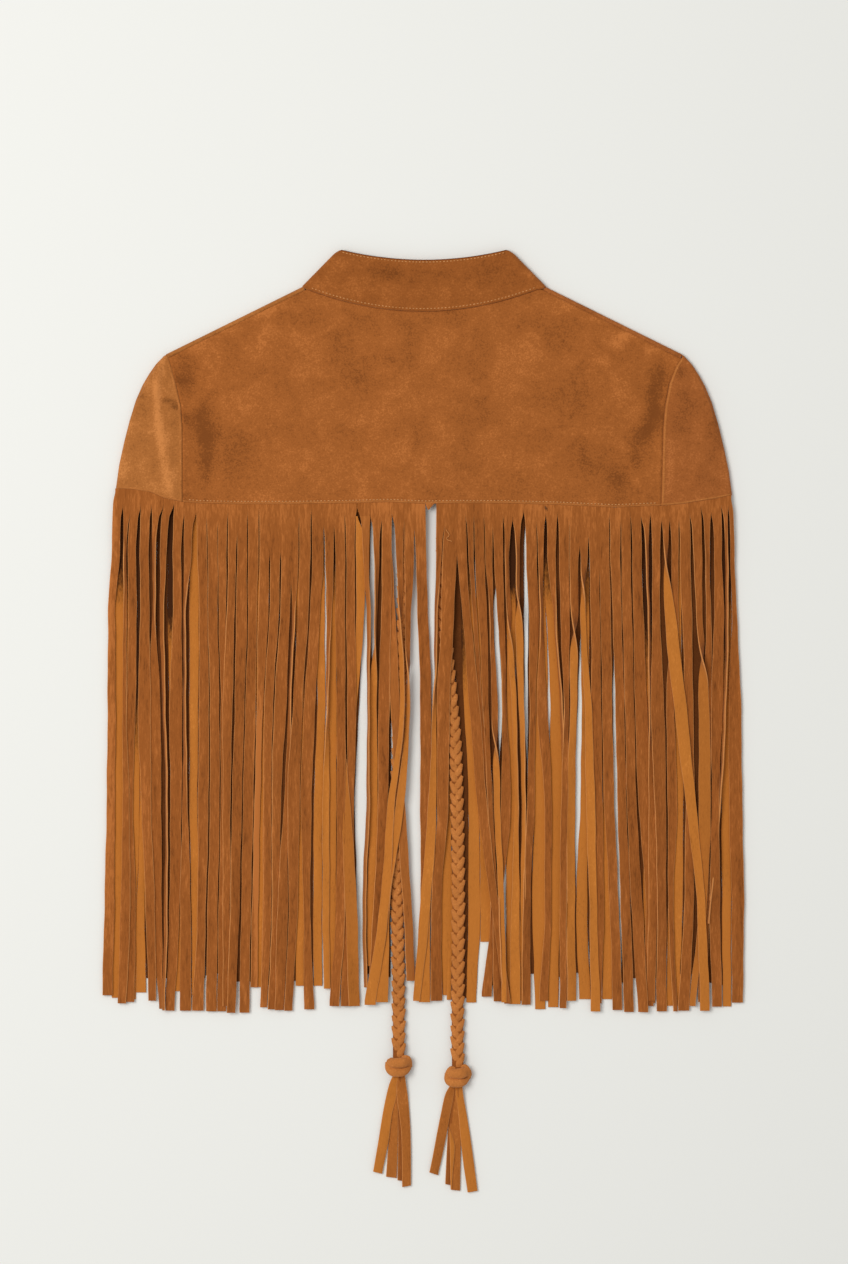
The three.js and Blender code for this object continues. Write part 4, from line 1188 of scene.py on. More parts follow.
@dataclass(frozen=True)
class Collar:
    """The standing collar: one double band folded flat at the two sides of the neck."""

    front_share: float = 0.86
    cut_area: float = 0.0120
    fold_foot: tuple[float, float] = (91.3, 165.3)
    fold_head: tuple[float, float] = (64.5, 192.6)
    fold_steps: int = 14
    front_steps: int = 30
    back_steps: int = 76
    levels: tuple[float, ...] = (
        0.0, 0.02, 0.05, 0.1, 0.18, 0.27, 0.36, 0.45, 0.54, 0.63, 0.72, 0.8, 0.86, 0.91, 0.95, 0.98, 1.0,
    )  # fmt: skip

    def stations(self, offset: float) -> list[tuple[Point, Point, bool]]:
        """Neck edge, top edge and whether it is on the back, at stations from front end to front end."""
        radius_out = (LOFT + BAND) / 2
        run = Vector((COLLAR_HALF - NECK_X, COLLAR_Y - NECK_Y)).normalized()
        (foot_x, foot_y), (head_x, head_y) = self.fold_foot, self.fold_head

        def fold(sign: int) -> list[tuple[Point, Point, bool]]:
            """Stations round a side fold."""
            found = []
            for k in range(self.fold_steps + 1):
                a = math.pi * k / self.fold_steps
                radius = radius_out - offset
                reach = radius * math.sin(a) - radius_out
                z = radius_out - radius * math.cos(a)
                foot = (sign * (foot_x + run.y * reach), foot_y - run.x * reach, z)
                found.append((foot, (sign * (head_x + reach), head_y + 0.1 * reach, z), k == self.fold_steps))
            return found

        def front(sign: int) -> list[tuple[Point, Point, bool]]:
            """Stations of a front end, lying on the table."""
            found = []
            for t in (self.front_share * k / self.front_steps for k in range(self.front_steps + 1)):
                neck, top = (mix(math.asin(FRONT_EDGE / half), math.pi / 2, t) for half in (NECK_X, COLLAR_HALF))
                foot = (sign * NECK_X * math.sin(neck), NECK_Y - FRONT_NECK_DROP * math.cos(neck), offset)
                head = (sign * COLLAR_HALF * math.sin(top), COLLAR_Y - COLLAR_FRONT_DROP * math.cos(top), offset)
                found.append((foot, head, False))
            return found

        back = []
        for u in (2 * k / self.back_steps - 1 for k in range(1, self.back_steps)):
            foot, head = u * (NECK_X - radius_out), u * (COLLAR_HALF - radius_out)
            z = LOFT + BAND - offset
            back.append(((foot, back_neck_y(foot), z), (head, collar_top_y(head), z), True))
        return [*front(-1), *fold(-1), *back, *reversed(fold(1)), *reversed(front(1))]

    def relief(self, x: float, y: float, up: float, down: float) -> float:
        """Rolled edges, sewn rows and slight waves of the back's face, from the distances to its edges."""
        waves = 0.14 * math.sin(x / 7.0 + 2 * math.sin(y / 5.0)) + 0.08 * math.sin(x / 3.1 + y / 2.3)
        sewn = -0.2 * ridge(down, 1.9, 0.7) - 0.2 * ridge(up, 1.8, 0.7)
        return seam_roll(up, 0.5, 1.1) + seam_roll(down, 0.5, 0.8) + waves + sewn

    def face(self, offset: float) -> list[Row]:
        """Rows of points of one face of the band, with its edges rolled over."""
        rows = []
        for foot, head, on_back in self.stations(offset):
            row = []
            wide = math.dist(foot[:2], head[:2])
            for t in self.levels:
                x, y, z = (mix(foot[k], head[k], t) for k in range(3))
                bent = max((t - 0.86) / 0.14, 0.0)
                beyond = max(abs(x) - (61.2 + (1.0 - t) * 26.5), 0.0)
                x -= math.copysign(beyond * (1.0 - math.sqrt(max(1.0 - bent * bent, 0.0))), x)
                if on_back and offset == 0:
                    z += self.relief(x, y, (1 - t) * wide, t * wide)
                row.append((x, y, z))
            rows.append(row)
        return rows

    def make(self) -> None:
        """Makes the collar."""
        cut = Cutting()
        outside = self.face(0.0)
        cut.wall(outside, self.face(BAND), (0, 1, 0))
        columns = len(self.levels) - 1
        # The narrow band along the top edge gets painted shade for its rolled edge.
        for i in range(len(outside) - 1):
            cut.finishes[i * columns + columns - 1] = 2
        piece = cut.piece("collar_band", [COLLAR_SUEDE, INNER, SEAM_SHADOW], Slot.COLLAR, ["collar"])


@dataclass(frozen=True)
class Stitching:
    """Rows of small stitches along the seams."""

    long: float = 1.5
    pitch: float = 2.6
    half: tuple[float, float] = (0.34, 0.26)
    sunk: float = 0.7
    swell: tuple[tuple[float, float], ...] = ((0.0, 0.35), (0.15, 0.85), (0.5, 1.0), (0.85, 0.85), (1.0, 0.35))

    def row(self, cut: Cutting, line: Callable[[float], Point], start: float, end: float, rng: random.Random) -> None:
        """Adds a row of stitches along a line.

        Args:
            cut: Where the stitches go.
            line: A point of the seam at a distance along X.
            start: X of the first stitch.
            end: X of the last stitch.
            rng: Source of the small unevenness of hand-guided sewing.
        """
        x = start
        while x < end:
            a, b = Vector(line(x)), Vector(line(x + self.long * rng.uniform(0.85, 1.05)))
            ahead = (b - a).normalized()
            beside, up = Vector((-ahead.y, ahead.x, 0)) * self.half[0], Vector((0, 0, self.half[1]))
            rings = []
            for t, size in self.swell:
                middle = a.lerp(b, t) + Vector((0, 0, 0.22 * (math.sin(math.pi * t) - self.sunk)))
                rings.append(oval(middle, beside * size, up * size, 6))
            cut.tube(rings)
            x += self.pitch * rng.uniform(0.94, 1.06)

    def make(self) -> None:
        """Sews the collar's two rows and the row above the hem."""
        rng = random.Random(11)
        cut = Cutting()
        top_z = LOFT + BAND

        def below_top(x: float) -> Point:
            """The row below the collar's top edge."""
            return (x, collar_top_y(x) - 1.8, top_z - 0.12)

        def above_neck(x: float) -> Point:
            """The row above the neck seam."""
            return (x, back_neck_y(x) + 1.9, top_z - 0.1)

        def above_hem(x: float) -> Point:
            """The row above the yoke hem."""
            y = hem_y(x) + 2.1
            return (x, y, lift(x, y) + SUEDE + 0.4)

        for line, start, end in ((below_top, -61.0, 60.0), (above_neck, -84.0, 83.0), (above_hem, -176.0, 174.0)):
            self.row(cut, line, start, end, rng)
        cut.piece("stitches", [THREAD], Slot.OUTER)


# ---- Fringe ----
LEVELS = (-40.0, -80.0, -150.0, -220.0, -300.0)
Span = tuple[float, float]  # left and right edge
Slit = tuple[float, float]  # where a cut between two strands lies, and the height where it starts


class Tone(Enum):
    """How a strand looks: the numbers of the finishes of its face and of its cut edges."""

    PLAIN = (0, 2)
    WARM = (3, 2)
    # These two paint shade: deep in the gaps, and soft under the hem.
    DARK = (4, 5)
    SOFT = (7, 7)


@dataclass(frozen=True)
class Strand:
    """One strand of fringe as it lies.

    Spans are its left and right edges at the levels and at its end. Turns are the heights at which it
    turns over, starting with the outer face up. Tucks name, at each level, the edge that lies hidden:
    l or r, or . where the strand shows or leans instead. Later orders lie on earlier ones.
    """

    spans: tuple[Span, ...]
    end: float
    turns: tuple[float, ...] = ()
    tucks: str = "......"
    order: float = 1
    lean: int = 1
    tone: Tone = Tone.PLAIN


@dataclass(frozen=True)
class Loose:
    """A strand that comes out from under its neighbours at a height of its own."""

    strand: Strand
    start: float
    root: Span


class Stack:
    """How high the strands laid so far reach, on a fine net of cells in rows down the fringe."""

    cell: float = 0.5  # width of a cell
    first: float = -250.0  # left end of the net
    count: int = 1001  # cells in a row
    coarse: int = 8  # the ground is measured at every eighth cell
    most: float = 2.7  # strands pile up no higher than this over the ground

    def __init__(self, ground: Callable[[float, float], float]) -> None:
        """Starts with bare ground.

        Args:
            ground: Height of what the strands lie on.
        """
        self.heights = [14.0 - 3.0 * k for k in range(132)]
        known = np.arange(0, self.count, self.coarse)
        rows = [[ground(self.first + k * self.cell, y) for k in known.tolist()] for y in self.heights]
        self.ground = np.array([np.interp(np.arange(self.count), known, row) for row in rows])
        self.top = self.ground.copy()

    def span(self, left: float, right: float) -> slice:
        """The cells between two edges."""
        a = int((left - self.first) / self.cell)
        return slice(max(a, 0), max(int((right - self.first) / self.cell) + 1, a + 2))

    def under(self, station: int, left: float, right: float) -> tuple[float, float]:
        """Heights that clear what lies under the left and the right half."""
        heights = self.top[station, self.span(left + 0.1, right - 0.1)]
        half = len(heights) // 2 + 1
        return float(heights[:half].max()), float(heights[-half:].max())

    def lay(self, station: int, left: float, right: float, low: float, high: float) -> None:
        """Adds a strand's top between two edges at one station."""
        cells = self.span(left, right)
        count = self.top[station, cells].shape[0]
        tops = np.minimum(np.linspace(low, high, count), self.ground[station, cells] + self.most)
        self.top[station, cells] = np.maximum(self.top[station, cells], tops)


@dataclass(frozen=True)
class Lie:
    """How a strand lies at one station: its edges, whole width, turn, what is under it and how free it hangs."""

    station: int
    y: float
    left: float
    right: float
    wide: float
    turned: float
    under: tuple[float, float]
    free: float


@dataclass
class FringeBand:
    """One band of fringe, cut into strands from a single piece that hangs from the hem.

    Slits are the cuts between its strands, and loose strands come out from under the others. A pressed
    band lies flat on the ground; in any other each strand rests on those laid before it and leans where
    less of it shows than it is wide.
    """

    name: str
    node: str
    strands: tuple[Strand, ...]
    slits: tuple[Slit, ...]
    stack: Stack
    ground: Callable[[float, float], float]
    rests_on: tuple[str, ...]
    flat: tuple[float, float]
    cut_area: float
    seed: int
    loose: tuple[Loose, ...] = ()
    inside_up: bool = False
    pressed: bool = False
    widest: float = 8.8
    leans_below: float = 0.6  # share of its width that shows where a strand starts to lean
    most_rise: float = 3.0  # a leaning strand stands up no further than this
    thick: float = 1.1
    bevel: tuple[float, float] = (0.12, 0.42)
    gap: float = 0.3  # between neighbours
    air: float = 0.12  # under each strand
    turn_long: float = 54.0  # length over which a strand turns over

    def edges(
        self, strand: Strand, slits: tuple[Slit, Slit]
    ) -> tuple[Callable[[float], float], Callable[[float], float]]:
        """Curves of a strand's left and right edges over the height."""
        curves = []
        for side, (place, start) in enumerate(slits):
            begin = max(start, -34.0) if start > -40 else start
            table = [(y, span[side]) for y, span in zip([*LEVELS, strand.end], strand.spans)]
            table = [(y, x) for y, x in table if strand.end <= y < begin - 3]
            if begin > -22.0:
                table.append((begin - 11.0, mix(place, table[0][1], 0.6)))
            table += [(begin, place), (begin + 25, place)]
            curves.append(smooth_curve(sorted(table)))
        return curves[0], curves[1]

    def facing(self, strand: Strand, y: float) -> float:
        """1 where the outer face lies up, -1 where the inner one does, and between as it turns."""
        return math.prod(2.0 * ease((y - turn) / self.turn_long + 0.5) - 1.0 for turn in strand.turns)

    def tuck(self, strand: Strand, y: float) -> float:
        """-1 where the left edge lies hidden, 1 where the right one does, 0 where neither is."""
        marks = {"l": -1.0, "r": 1.0, ".": 0.0}
        keys = [(level, marks[mark]) for level, mark in zip([*LEVELS, strand.end], strand.tucks)]
        return look_up(sorted([*keys, (20.0, 0.0)]), y)

    def lie(self, strand: Strand, slits: tuple[Slit, Slit], station: int, span: Span, loose: bool) -> Lie:
        """How a strand lies at a station, worked out from what shows of it.

        Args:
            strand: The strand.
            slits: The cuts at its left and right.
            station: Number of the station.
            span: Its left and right edges there, as they show.
            loose: Whether it comes out from under its neighbours.

        Returns:
            How it lies.
        """
        y = self.stack.heights[station]
        joined = min(slits[0][1], slits[1][1])
        left, right = span
        full = right - left if y > joined else max(min(slits[1][0] - slits[0][0], self.widest), right - left)
        hidden = self.tuck(strand, y)
        if hidden < 0:
            left = mix(left, right - full, -hidden)
        elif hidden > 0:
            right = mix(right, left + full, hidden)
        shown = right - left
        share = min(shown / full, 1.0)
        steep = min(math.acos(share), math.atan2(self.most_rise, shown))
        stood = 0.0 if self.pressed else steep * ease((self.leans_below - share) / 0.25)
        full = min(full, shown / max(math.cos(stood), 0.12))
        grown = 1.0 if loose else ease((joined - y + 8) / 20.0)
        turned = (math.pi / 2 - (math.pi / 2 - stood) * self.facing(strand, y)) * grown
        centre, half = (left + right) / 2, full / 2 * abs(math.cos(turned))
        under = self.stack.under(station, centre - half, centre + half)
        return Lie(station, y, left, right, full, turned, under, ease((joined - y) / 30.0))

    def ring(
        self, lie: Lie, strand: Strand, under: Span, free: Span, rims: Span, phases: Span
    ) -> tuple[Row, Vector, Vector]:
        """The section of a strand where it lies, and its two edges.

        Args:
            lie: How it lies.
            strand: The strand.
            under: Smoothed heights under its left and right half.
            free: How far its left and right cut have opened, from 0 to 1.
            rims: How far its two cut edges are bevelled.
            phases: Where its waves start.

        Returns:
            The ring of points, and the middles of its two cut edges as x and height.
        """
        wave, shift = phases
        low, high = (
            mix(self.ground(x, lie.y), height + self.air, lie.free)
            for x, height in ((lie.left, under[0]), (lie.right, under[1]))
        )
        half = lie.wide / 2 * math.cos(lie.turned)
        rise = lie.wide / 2 * math.sin(lie.turned) * strand.lean
        wobble = lie.free * (0.16 * math.sin(lie.y / 11.0 + wave) + 0.1 * math.sin(lie.y / 4.7 + shift))
        slant = (high - low) * abs(math.cos(lie.turned)) * (1 if half >= 0 else -1)
        centre, base = (lie.left + lie.right) / 2 + wobble, (low + high) / 2 + abs(rise) + self.thick / 2
        start = Vector((centre - half + self.gap / 2 * free[0], base + rise - slant / 2))
        end = Vector((centre + half - self.gap / 2 * free[1], base - rise + slant / 2))
        along = (end - start).normalized()
        normal = Vector((-along.y, along.x))
        curl = 0.3 * lie.free * math.sin(lie.y / 37.0 + wave)
        section = self.profile(rims[0] * free[0], rims[1] * free[1], (end - start).length, curl)
        spots = (start + along * place + normal * side for place, side in section)
        return [(spot.x, lie.y, max(spot.y, 0.03)) for spot in spots], start, end

    def lay_strand(
        self, cut: Cutting, strand: Strand, slits: tuple[Slit, Slit], rng: random.Random, start: float | None
    ) -> None:
        """Lays one strand on those laid before.

        Args:
            cut: Where the strand goes.
            strand: The strand.
            slits: The cuts at its left and right.
            rng: Source of the small unevenness of hand cutting.
            start: Height at which a loose strand comes out from under its neighbours, or None.
        """
        left_at, right_at = self.edges(strand, slits)
        phases = rng.uniform(0, 6.28), rng.uniform(0, 6.28)
        rims = rng.uniform(*self.bevel), rng.uniform(*self.bevel)
        lies = [
            self.lie(strand, slits, k, (left_at(y), right_at(y)), start is not None)
            for k, y in enumerate(self.stack.heights)
            if y > strand.end + 1.5 and (start is None or y <= start)
        ]
        lows, highs = (self.settle([lie.under[side] for lie in lies]) for side in (0, 1))
        rings = []
        for lie, low, high in zip(lies, lows, highs):
            free = tuple(ease((begin - lie.y) / 10.0) for _, begin in slits)
            ring, *ends = self.ring(lie, strand, (low, high), free, rims, phases)
            rings.append(ring)
            if not self.pressed:
                (left, low_end), (right, high_end) = sorted((end.x, end.y + self.thick / 2) for end in ends)
                self.stack.lay(lie.station, left, right, low_end, high_end)
        rings = self.shape_ends(rings, strand, (slits[0][0] + slits[1][0]) / 2, start is None)
        top, rim = strand.tone.value
        below = rng.choice((1, 1, 6))
        first, joined = len(cut.finishes), min(slits[0][1], slits[1][1])
        round_it = (rim, top, top, top, top, rim, rim, rim, below, below, below, below, rim, rim)
        cut.tube(rings, round_it, rim)
        # Above its cuts a strand is still part of the whole band, so its outer half is plain there.
        if strand.tone in (Tone.WARM, Tone.DARK):
            count, outer = len(round_it), len(round_it) // 2
            for at in (first + count * n for n, ring in enumerate(rings[:-1]) if ring[0][1] > joined):
                cut.finishes[at : at + outer] = [Tone.PLAIN.value[0]] * outer

    def profile(self, bevel_a: float, bevel_b: float, run: float, curl: float) -> list[tuple[float, float]]:
        """Section of a strand: 14 places along it with the heights on it, round from one cut edge."""
        half = self.thick / 2
        crown = [(run * share, half + curl * high) for share, high in ((0.25, 0.7), (0.5, 1.0), (0.75, 0.7))]
        outer = [(bevel_a, half), *crown, (run - bevel_b, half)]
        inner = [(place, height - self.thick) for place, height in reversed(outer)]
        rims = [(0.0, half - bevel_a), (run, half - bevel_b), (run, bevel_b - half), (0.0, bevel_a - half)]
        return [rims[0], *outer, rims[1], rims[2], *inner, rims[3]]

    def settle(self, values: Sequence[float]) -> list[float]:
        """Lets a strand span small steps in what it lies on, without sinking into it."""
        held = [max(values[max(k - 3, 0) : k + 4]) for k in range(len(values))]
        windows = [held[max(k - 5, 0) : k + 6] for k in range(len(values))]
        return [max(sum(w) / len(w), high - 0.4, value) for w, high, value in zip(windows, held, values)]

    def shape_ends(self, rings: list[Row], strand: Strand, middle: float, from_hem: bool) -> list[Row]:
        """Brings the first ring to the hem seam and the last to the strand's cut end."""
        shaped = [ring for ring in rings if ring[0][1] <= hem_y(middle) - SEAM - 1.0]
        if from_hem:
            shaped.insert(0, [(x, hem_y(x) - 0.04, max(z - 0.1, 0.0)) for x, _, z in shaped[0]])
        shaped.append([(x, strand.end, z) for x, _, z in shaped[-1]])
        return shaped

    def make(self) -> None:
        cut = Cutting()
        rng = random.Random(self.seed)
        todo = [(strand, slits, None) for strand, slits in zip(self.strands, zip(self.slits, self.slits[1:]))]
        todo += [(loose.strand, tuple((x, loose.start) for x in loose.root), loose.start) for loose in self.loose]
        for strand, slits, start in sorted(todo, key=lambda entry: entry[0].order):
            self.lay_strand(cut, strand, slits, rng, start)
        piece = cut.piece(self.name, FRONT_SKINS if self.inside_up else BACK_SKINS, Slot.FRINGE, [self.node], 32.0)


# Finishes of the strands, in the order that the tones number them: shown face, hidden face, cut edge,
# warm face, face and cut edge painted in deep shade, another hidden face, face painted in soft shade.
BACK_SKINS = (FRINGE, INNER, EDGE, FRINGE_WARM, INNER_PAINTED_SHADE, EDGE_PAINTED_SHADE, INNER_DIM)
FRONT_SKINS = (INNER, FRINGE, EDGE, INNER_DIM, INNER_PAINTED_SHADE, EDGE_PAINTED_SHADE, FRINGE, INNER_PAINTED_SHADE_UNDER_HEM)

# ---- The strands ----
LEFT_SLITS = (
    (-230.9, 14.0), (-225.5, 2.0), (-220.0, -4.0), (-212.0, 2.0), (-204.0, 2.0), (-195.0, 2.0), (-187.0, 3.0),
    (-179.5, -4.0), (-170.7, -3.0), (-163.0, -6.0), (-154.6, -10.0), (-147.0, -3.0), (-139.8, -18.0), (-132.3, -2.0),
    (-123.5, 0.0), (-115.5, -35.0), (-107.5, -33.0), (-99.5, -55.0), (-93.5, -5.0), (-84.3, 0.0), (-75.0, -12.0),
    (-67.3, -12.0), (-59.5, -4.0), (-50.2, 1.0), (-40.0, -5.0), (-31.6, -8.0), (-24.0, -4.0),
    (-14.8, -10.0), (-7.2, -15.0), (1.0, 2.0),
)  # fmt: skip
RIGHT_SLITS = (
    (9.2, 2.0), (15.8, -12.0), (24.5, -36.0), (31.0, -5.0), (37.3, -5.0), (44.6, -5.0), (51.5, -13.0), (59.2, -5.0),
    (66.3, -8.0), (74.8, -2.0), (84.0, -10.0), (91.3, -4.0), (100.0, -4.0), (109.0, -10.0), (116.8, -28.0),
    (123.3, -20.0), (131.5, -45.0), (138.6, -4.0), (147.5, -8.0), (154.6, -4.0), (162.5, -6.0), (169.6, -4.0),
    (178.0, -8.0), (184.0, -8.0), (191.0, -8.0), (199.0, -4.0), (207.4, 1.0), (215.0, -3.0), (222.6, 2.0),
    (227.7, 2.0), (229.9, 8.0),
)  # fmt: skip

# Spans at -40, -80, -150, -220, -300 and at the end.
LEFT_STRANDS = (
    Strand(((-234.5, -228), (-237, -231.5), (-237.3, -231), (-238, -231.5), (-239.7, -232), (-241.3, -233.5)), -366),
    Strand(((-225, -222.8), (-225.5, -222.6), (-226, -222.6), (-226, -220.5), (-227.5, -219.8),
        (-229.5, -223)), -372, tucks="....rr", order=2),
    Strand(((-222, -215.6), (-221.7, -215.2), (-223, -216), (-224.5, -218), (-222, -216),
        (-224, -217)), -371, order=0),
    Strand(((-213, -206), (-212.9, -205.6), (-214.5, -204.5), (-212, -204.2), (-208.8, -201.4),
        (-206.5, -200.5)), -370),
    Strand(((-203.5, -201), (-203, -201), (-203.2, -197.3), (-203, -196.7), (-200.3, -196.3),
        (-198.0, -195.3)), -376, tucks="..lll.", lean=-1, order=0),
    Strand(((-198, -193), (-198, -194.5), (-195.5, -193.5), (-193.5, -192), (-194.5, -192),
        (-196, -194)), -377, lean=-1),
    Strand(((-188.3, -181.7), (-188.4, -181.5), (-191, -181), (-190.3, -181.5), (-191, -183), (-194, -187)), -377.5),
    Strand(((-180, -174.5), (-180, -178.4), (-180, -178.2), (-181, -177), (-183, -174.7),
        (-183, -174.2)), -377.5, lean=-1),
    Strand(((-170, -162.3), (-168.5, -162), (-168.7, -161), (-169.5, -161.3), (-170, -163.3), (-174, -165)), -377.5),
    Strand(((-162, -154.5), (-162, -154.5), (-160.5, -153.2), (-160.5, -153), (-162.3, -154.5),
        (-163.5, -155.2)), -378),
    Strand(((-154.3, -147.7), (-154, -148.4), (-152.5, -150.5), (-152.5, -151), (-154, -148),
        (-155, -148.2)), -378, tucks="..rr..", order=0),
    Strand(((-147, -140.7), (-148, -141.8), (-151, -143.3), (-151, -144.8), (-151, -145),
        (-151, -144)), -374, order=0),
    Strand(((-140, -132.5), (-141, -132.5), (-142, -134.5), (-144, -136.3), (-145.3, -138.3), (-148, -141.3)), -379),
    Strand(((-132, -124), (-132, -125.2), (-134, -126), (-135.7, -127.7), (-137, -129.5), (-138.7, -131)), -379),
    Strand(((-123.3, -116), (-124.5, -116.5), (-125.4, -120.5), (-127.2, -122.5), (-129, -124),
        (-130.3, -124.8)), -360),
    Strand(((-115.3, -107.7), (-116, -108.7), (-120, -113), (-120.7, -114), (-121, -114), (-123, -117.7)), -375),
    Strand(((-107, -99.5), (-108, -100.5), (-112.5, -103), (-114, -107), (-114, -108), (-117.5, -111)), -376.5),
    Strand(((-99.3, -94), (-98.7, -96.3), (-101.5, -99.8), (-105, -102.7), (-110, -101.8),
        (-112, -105)), -377, lean=-1, tucks="...rr."),
    Strand(((-93.5, -85), (-94.7, -86.5), (-98.5, -91), (-102.5, -93), (-101.5, -94.5), (-105, -98.8)), -377.5),
    Strand(((-84, -75.5), (-85.5, -77.8), (-90, -81.3), (-92.5, -84), (-90.5, -85), (-90, -82)), -376.5),
    Strand(((-74, -67.5), (-73, -69), (-73, -71.5), (-76, -71), (-76, -71),
        (-75, -70.5)), -361, turns=(-150,), lean=-1),
    Strand(((-66.5, -59), (-66.5, -59), (-65.5, -58.7), (-65.3, -58.7), (-66, -59), (-71, -63.5)), -374, order=1.4),
    Strand(((-58.3, -51.8), (-58.3, -51.4), (-57.5, -50.7), (-58, -52.3), (-60, -53), (-62.5, -56.3)), -374),
    Strand(((-45.5, -41), (-43, -40), (-42.3, -41), (-43, -40.7), (-46, -43.4),
        (-44.8, -42.4)), -360, lean=-1, tone=Tone.WARM, order=1),
    Strand(((-37.5, -33.4), (-37, -35), (-41.5, -35.4), (-40.6, -34.6), (-42.6, -37),
        (-42.4, -38)), -344, turns=(-104,), order=0),
    Strand(((-31.7, -24), (-32.2, -24.4), (-34.3, -25.6), (-34.7, -27), (-38.3, -31.5), (-42, -35)), -362, order=2),
    Strand(((-20.8, -15.6), (-19.4, -16.2), (-17.6, -14.6), (-26.6, -21.7), (-33, -26.3),
        (-44.6, -36.5)), -373, turns=(-88,), order=4),
    Strand(((-14.5, -7.4), (-14.3, -9.6), (-13.4, -10.6), (-20.5, -14.6), (-29, -25.8),
        (-36, -27)), -371, turns=(-128,), order=3),
    Strand(((-6.2, 1.8), (-5, 3.3), (-3, 5.7), (-3, 4.6), (-2.6, 4.2), (-3.6, 3.6)), -371, order=0),
)  # fmt: skip
# Strands that come out from under their neighbours.
LEFT_LOOSE = (
    Loose(Strand(((-2, 5), (-2, 5), (-2, 5), (-2.5, 4.8), (-2.9, 4.7),
        (-3.9, 4.1)), -371, turns=(30,), order=0.5), -256, (0.6, 7.0)),
    Loose(Strand(((-50.9, -44.2), (-50.5, -44.8), (-56, -50.4), (-57.5, -52.8), (-59, -54),
        (-60, -55)), -368, turns=(30,), order=0), -6, (-50.9, -49.9)),
    Loose(Strand(((-29, -23.4), (-28.4, -21.2), (-25, -17.7), (-21.6, -14.2), (-15.7, -9),
        (-13, -6.5)), -355, order=1.5, tone=Tone.WARM), -26, (-31, -24.6)),
    Loose(Strand(((-66, -59), (-66, -59), (-66, -59), (-62.6, -55.4), (-58.8, -50.2),
        (-56.2, -48.4)), -374, turns=(30,), order=1.2), -172, (-66, -59)),
)  # fmt: skip
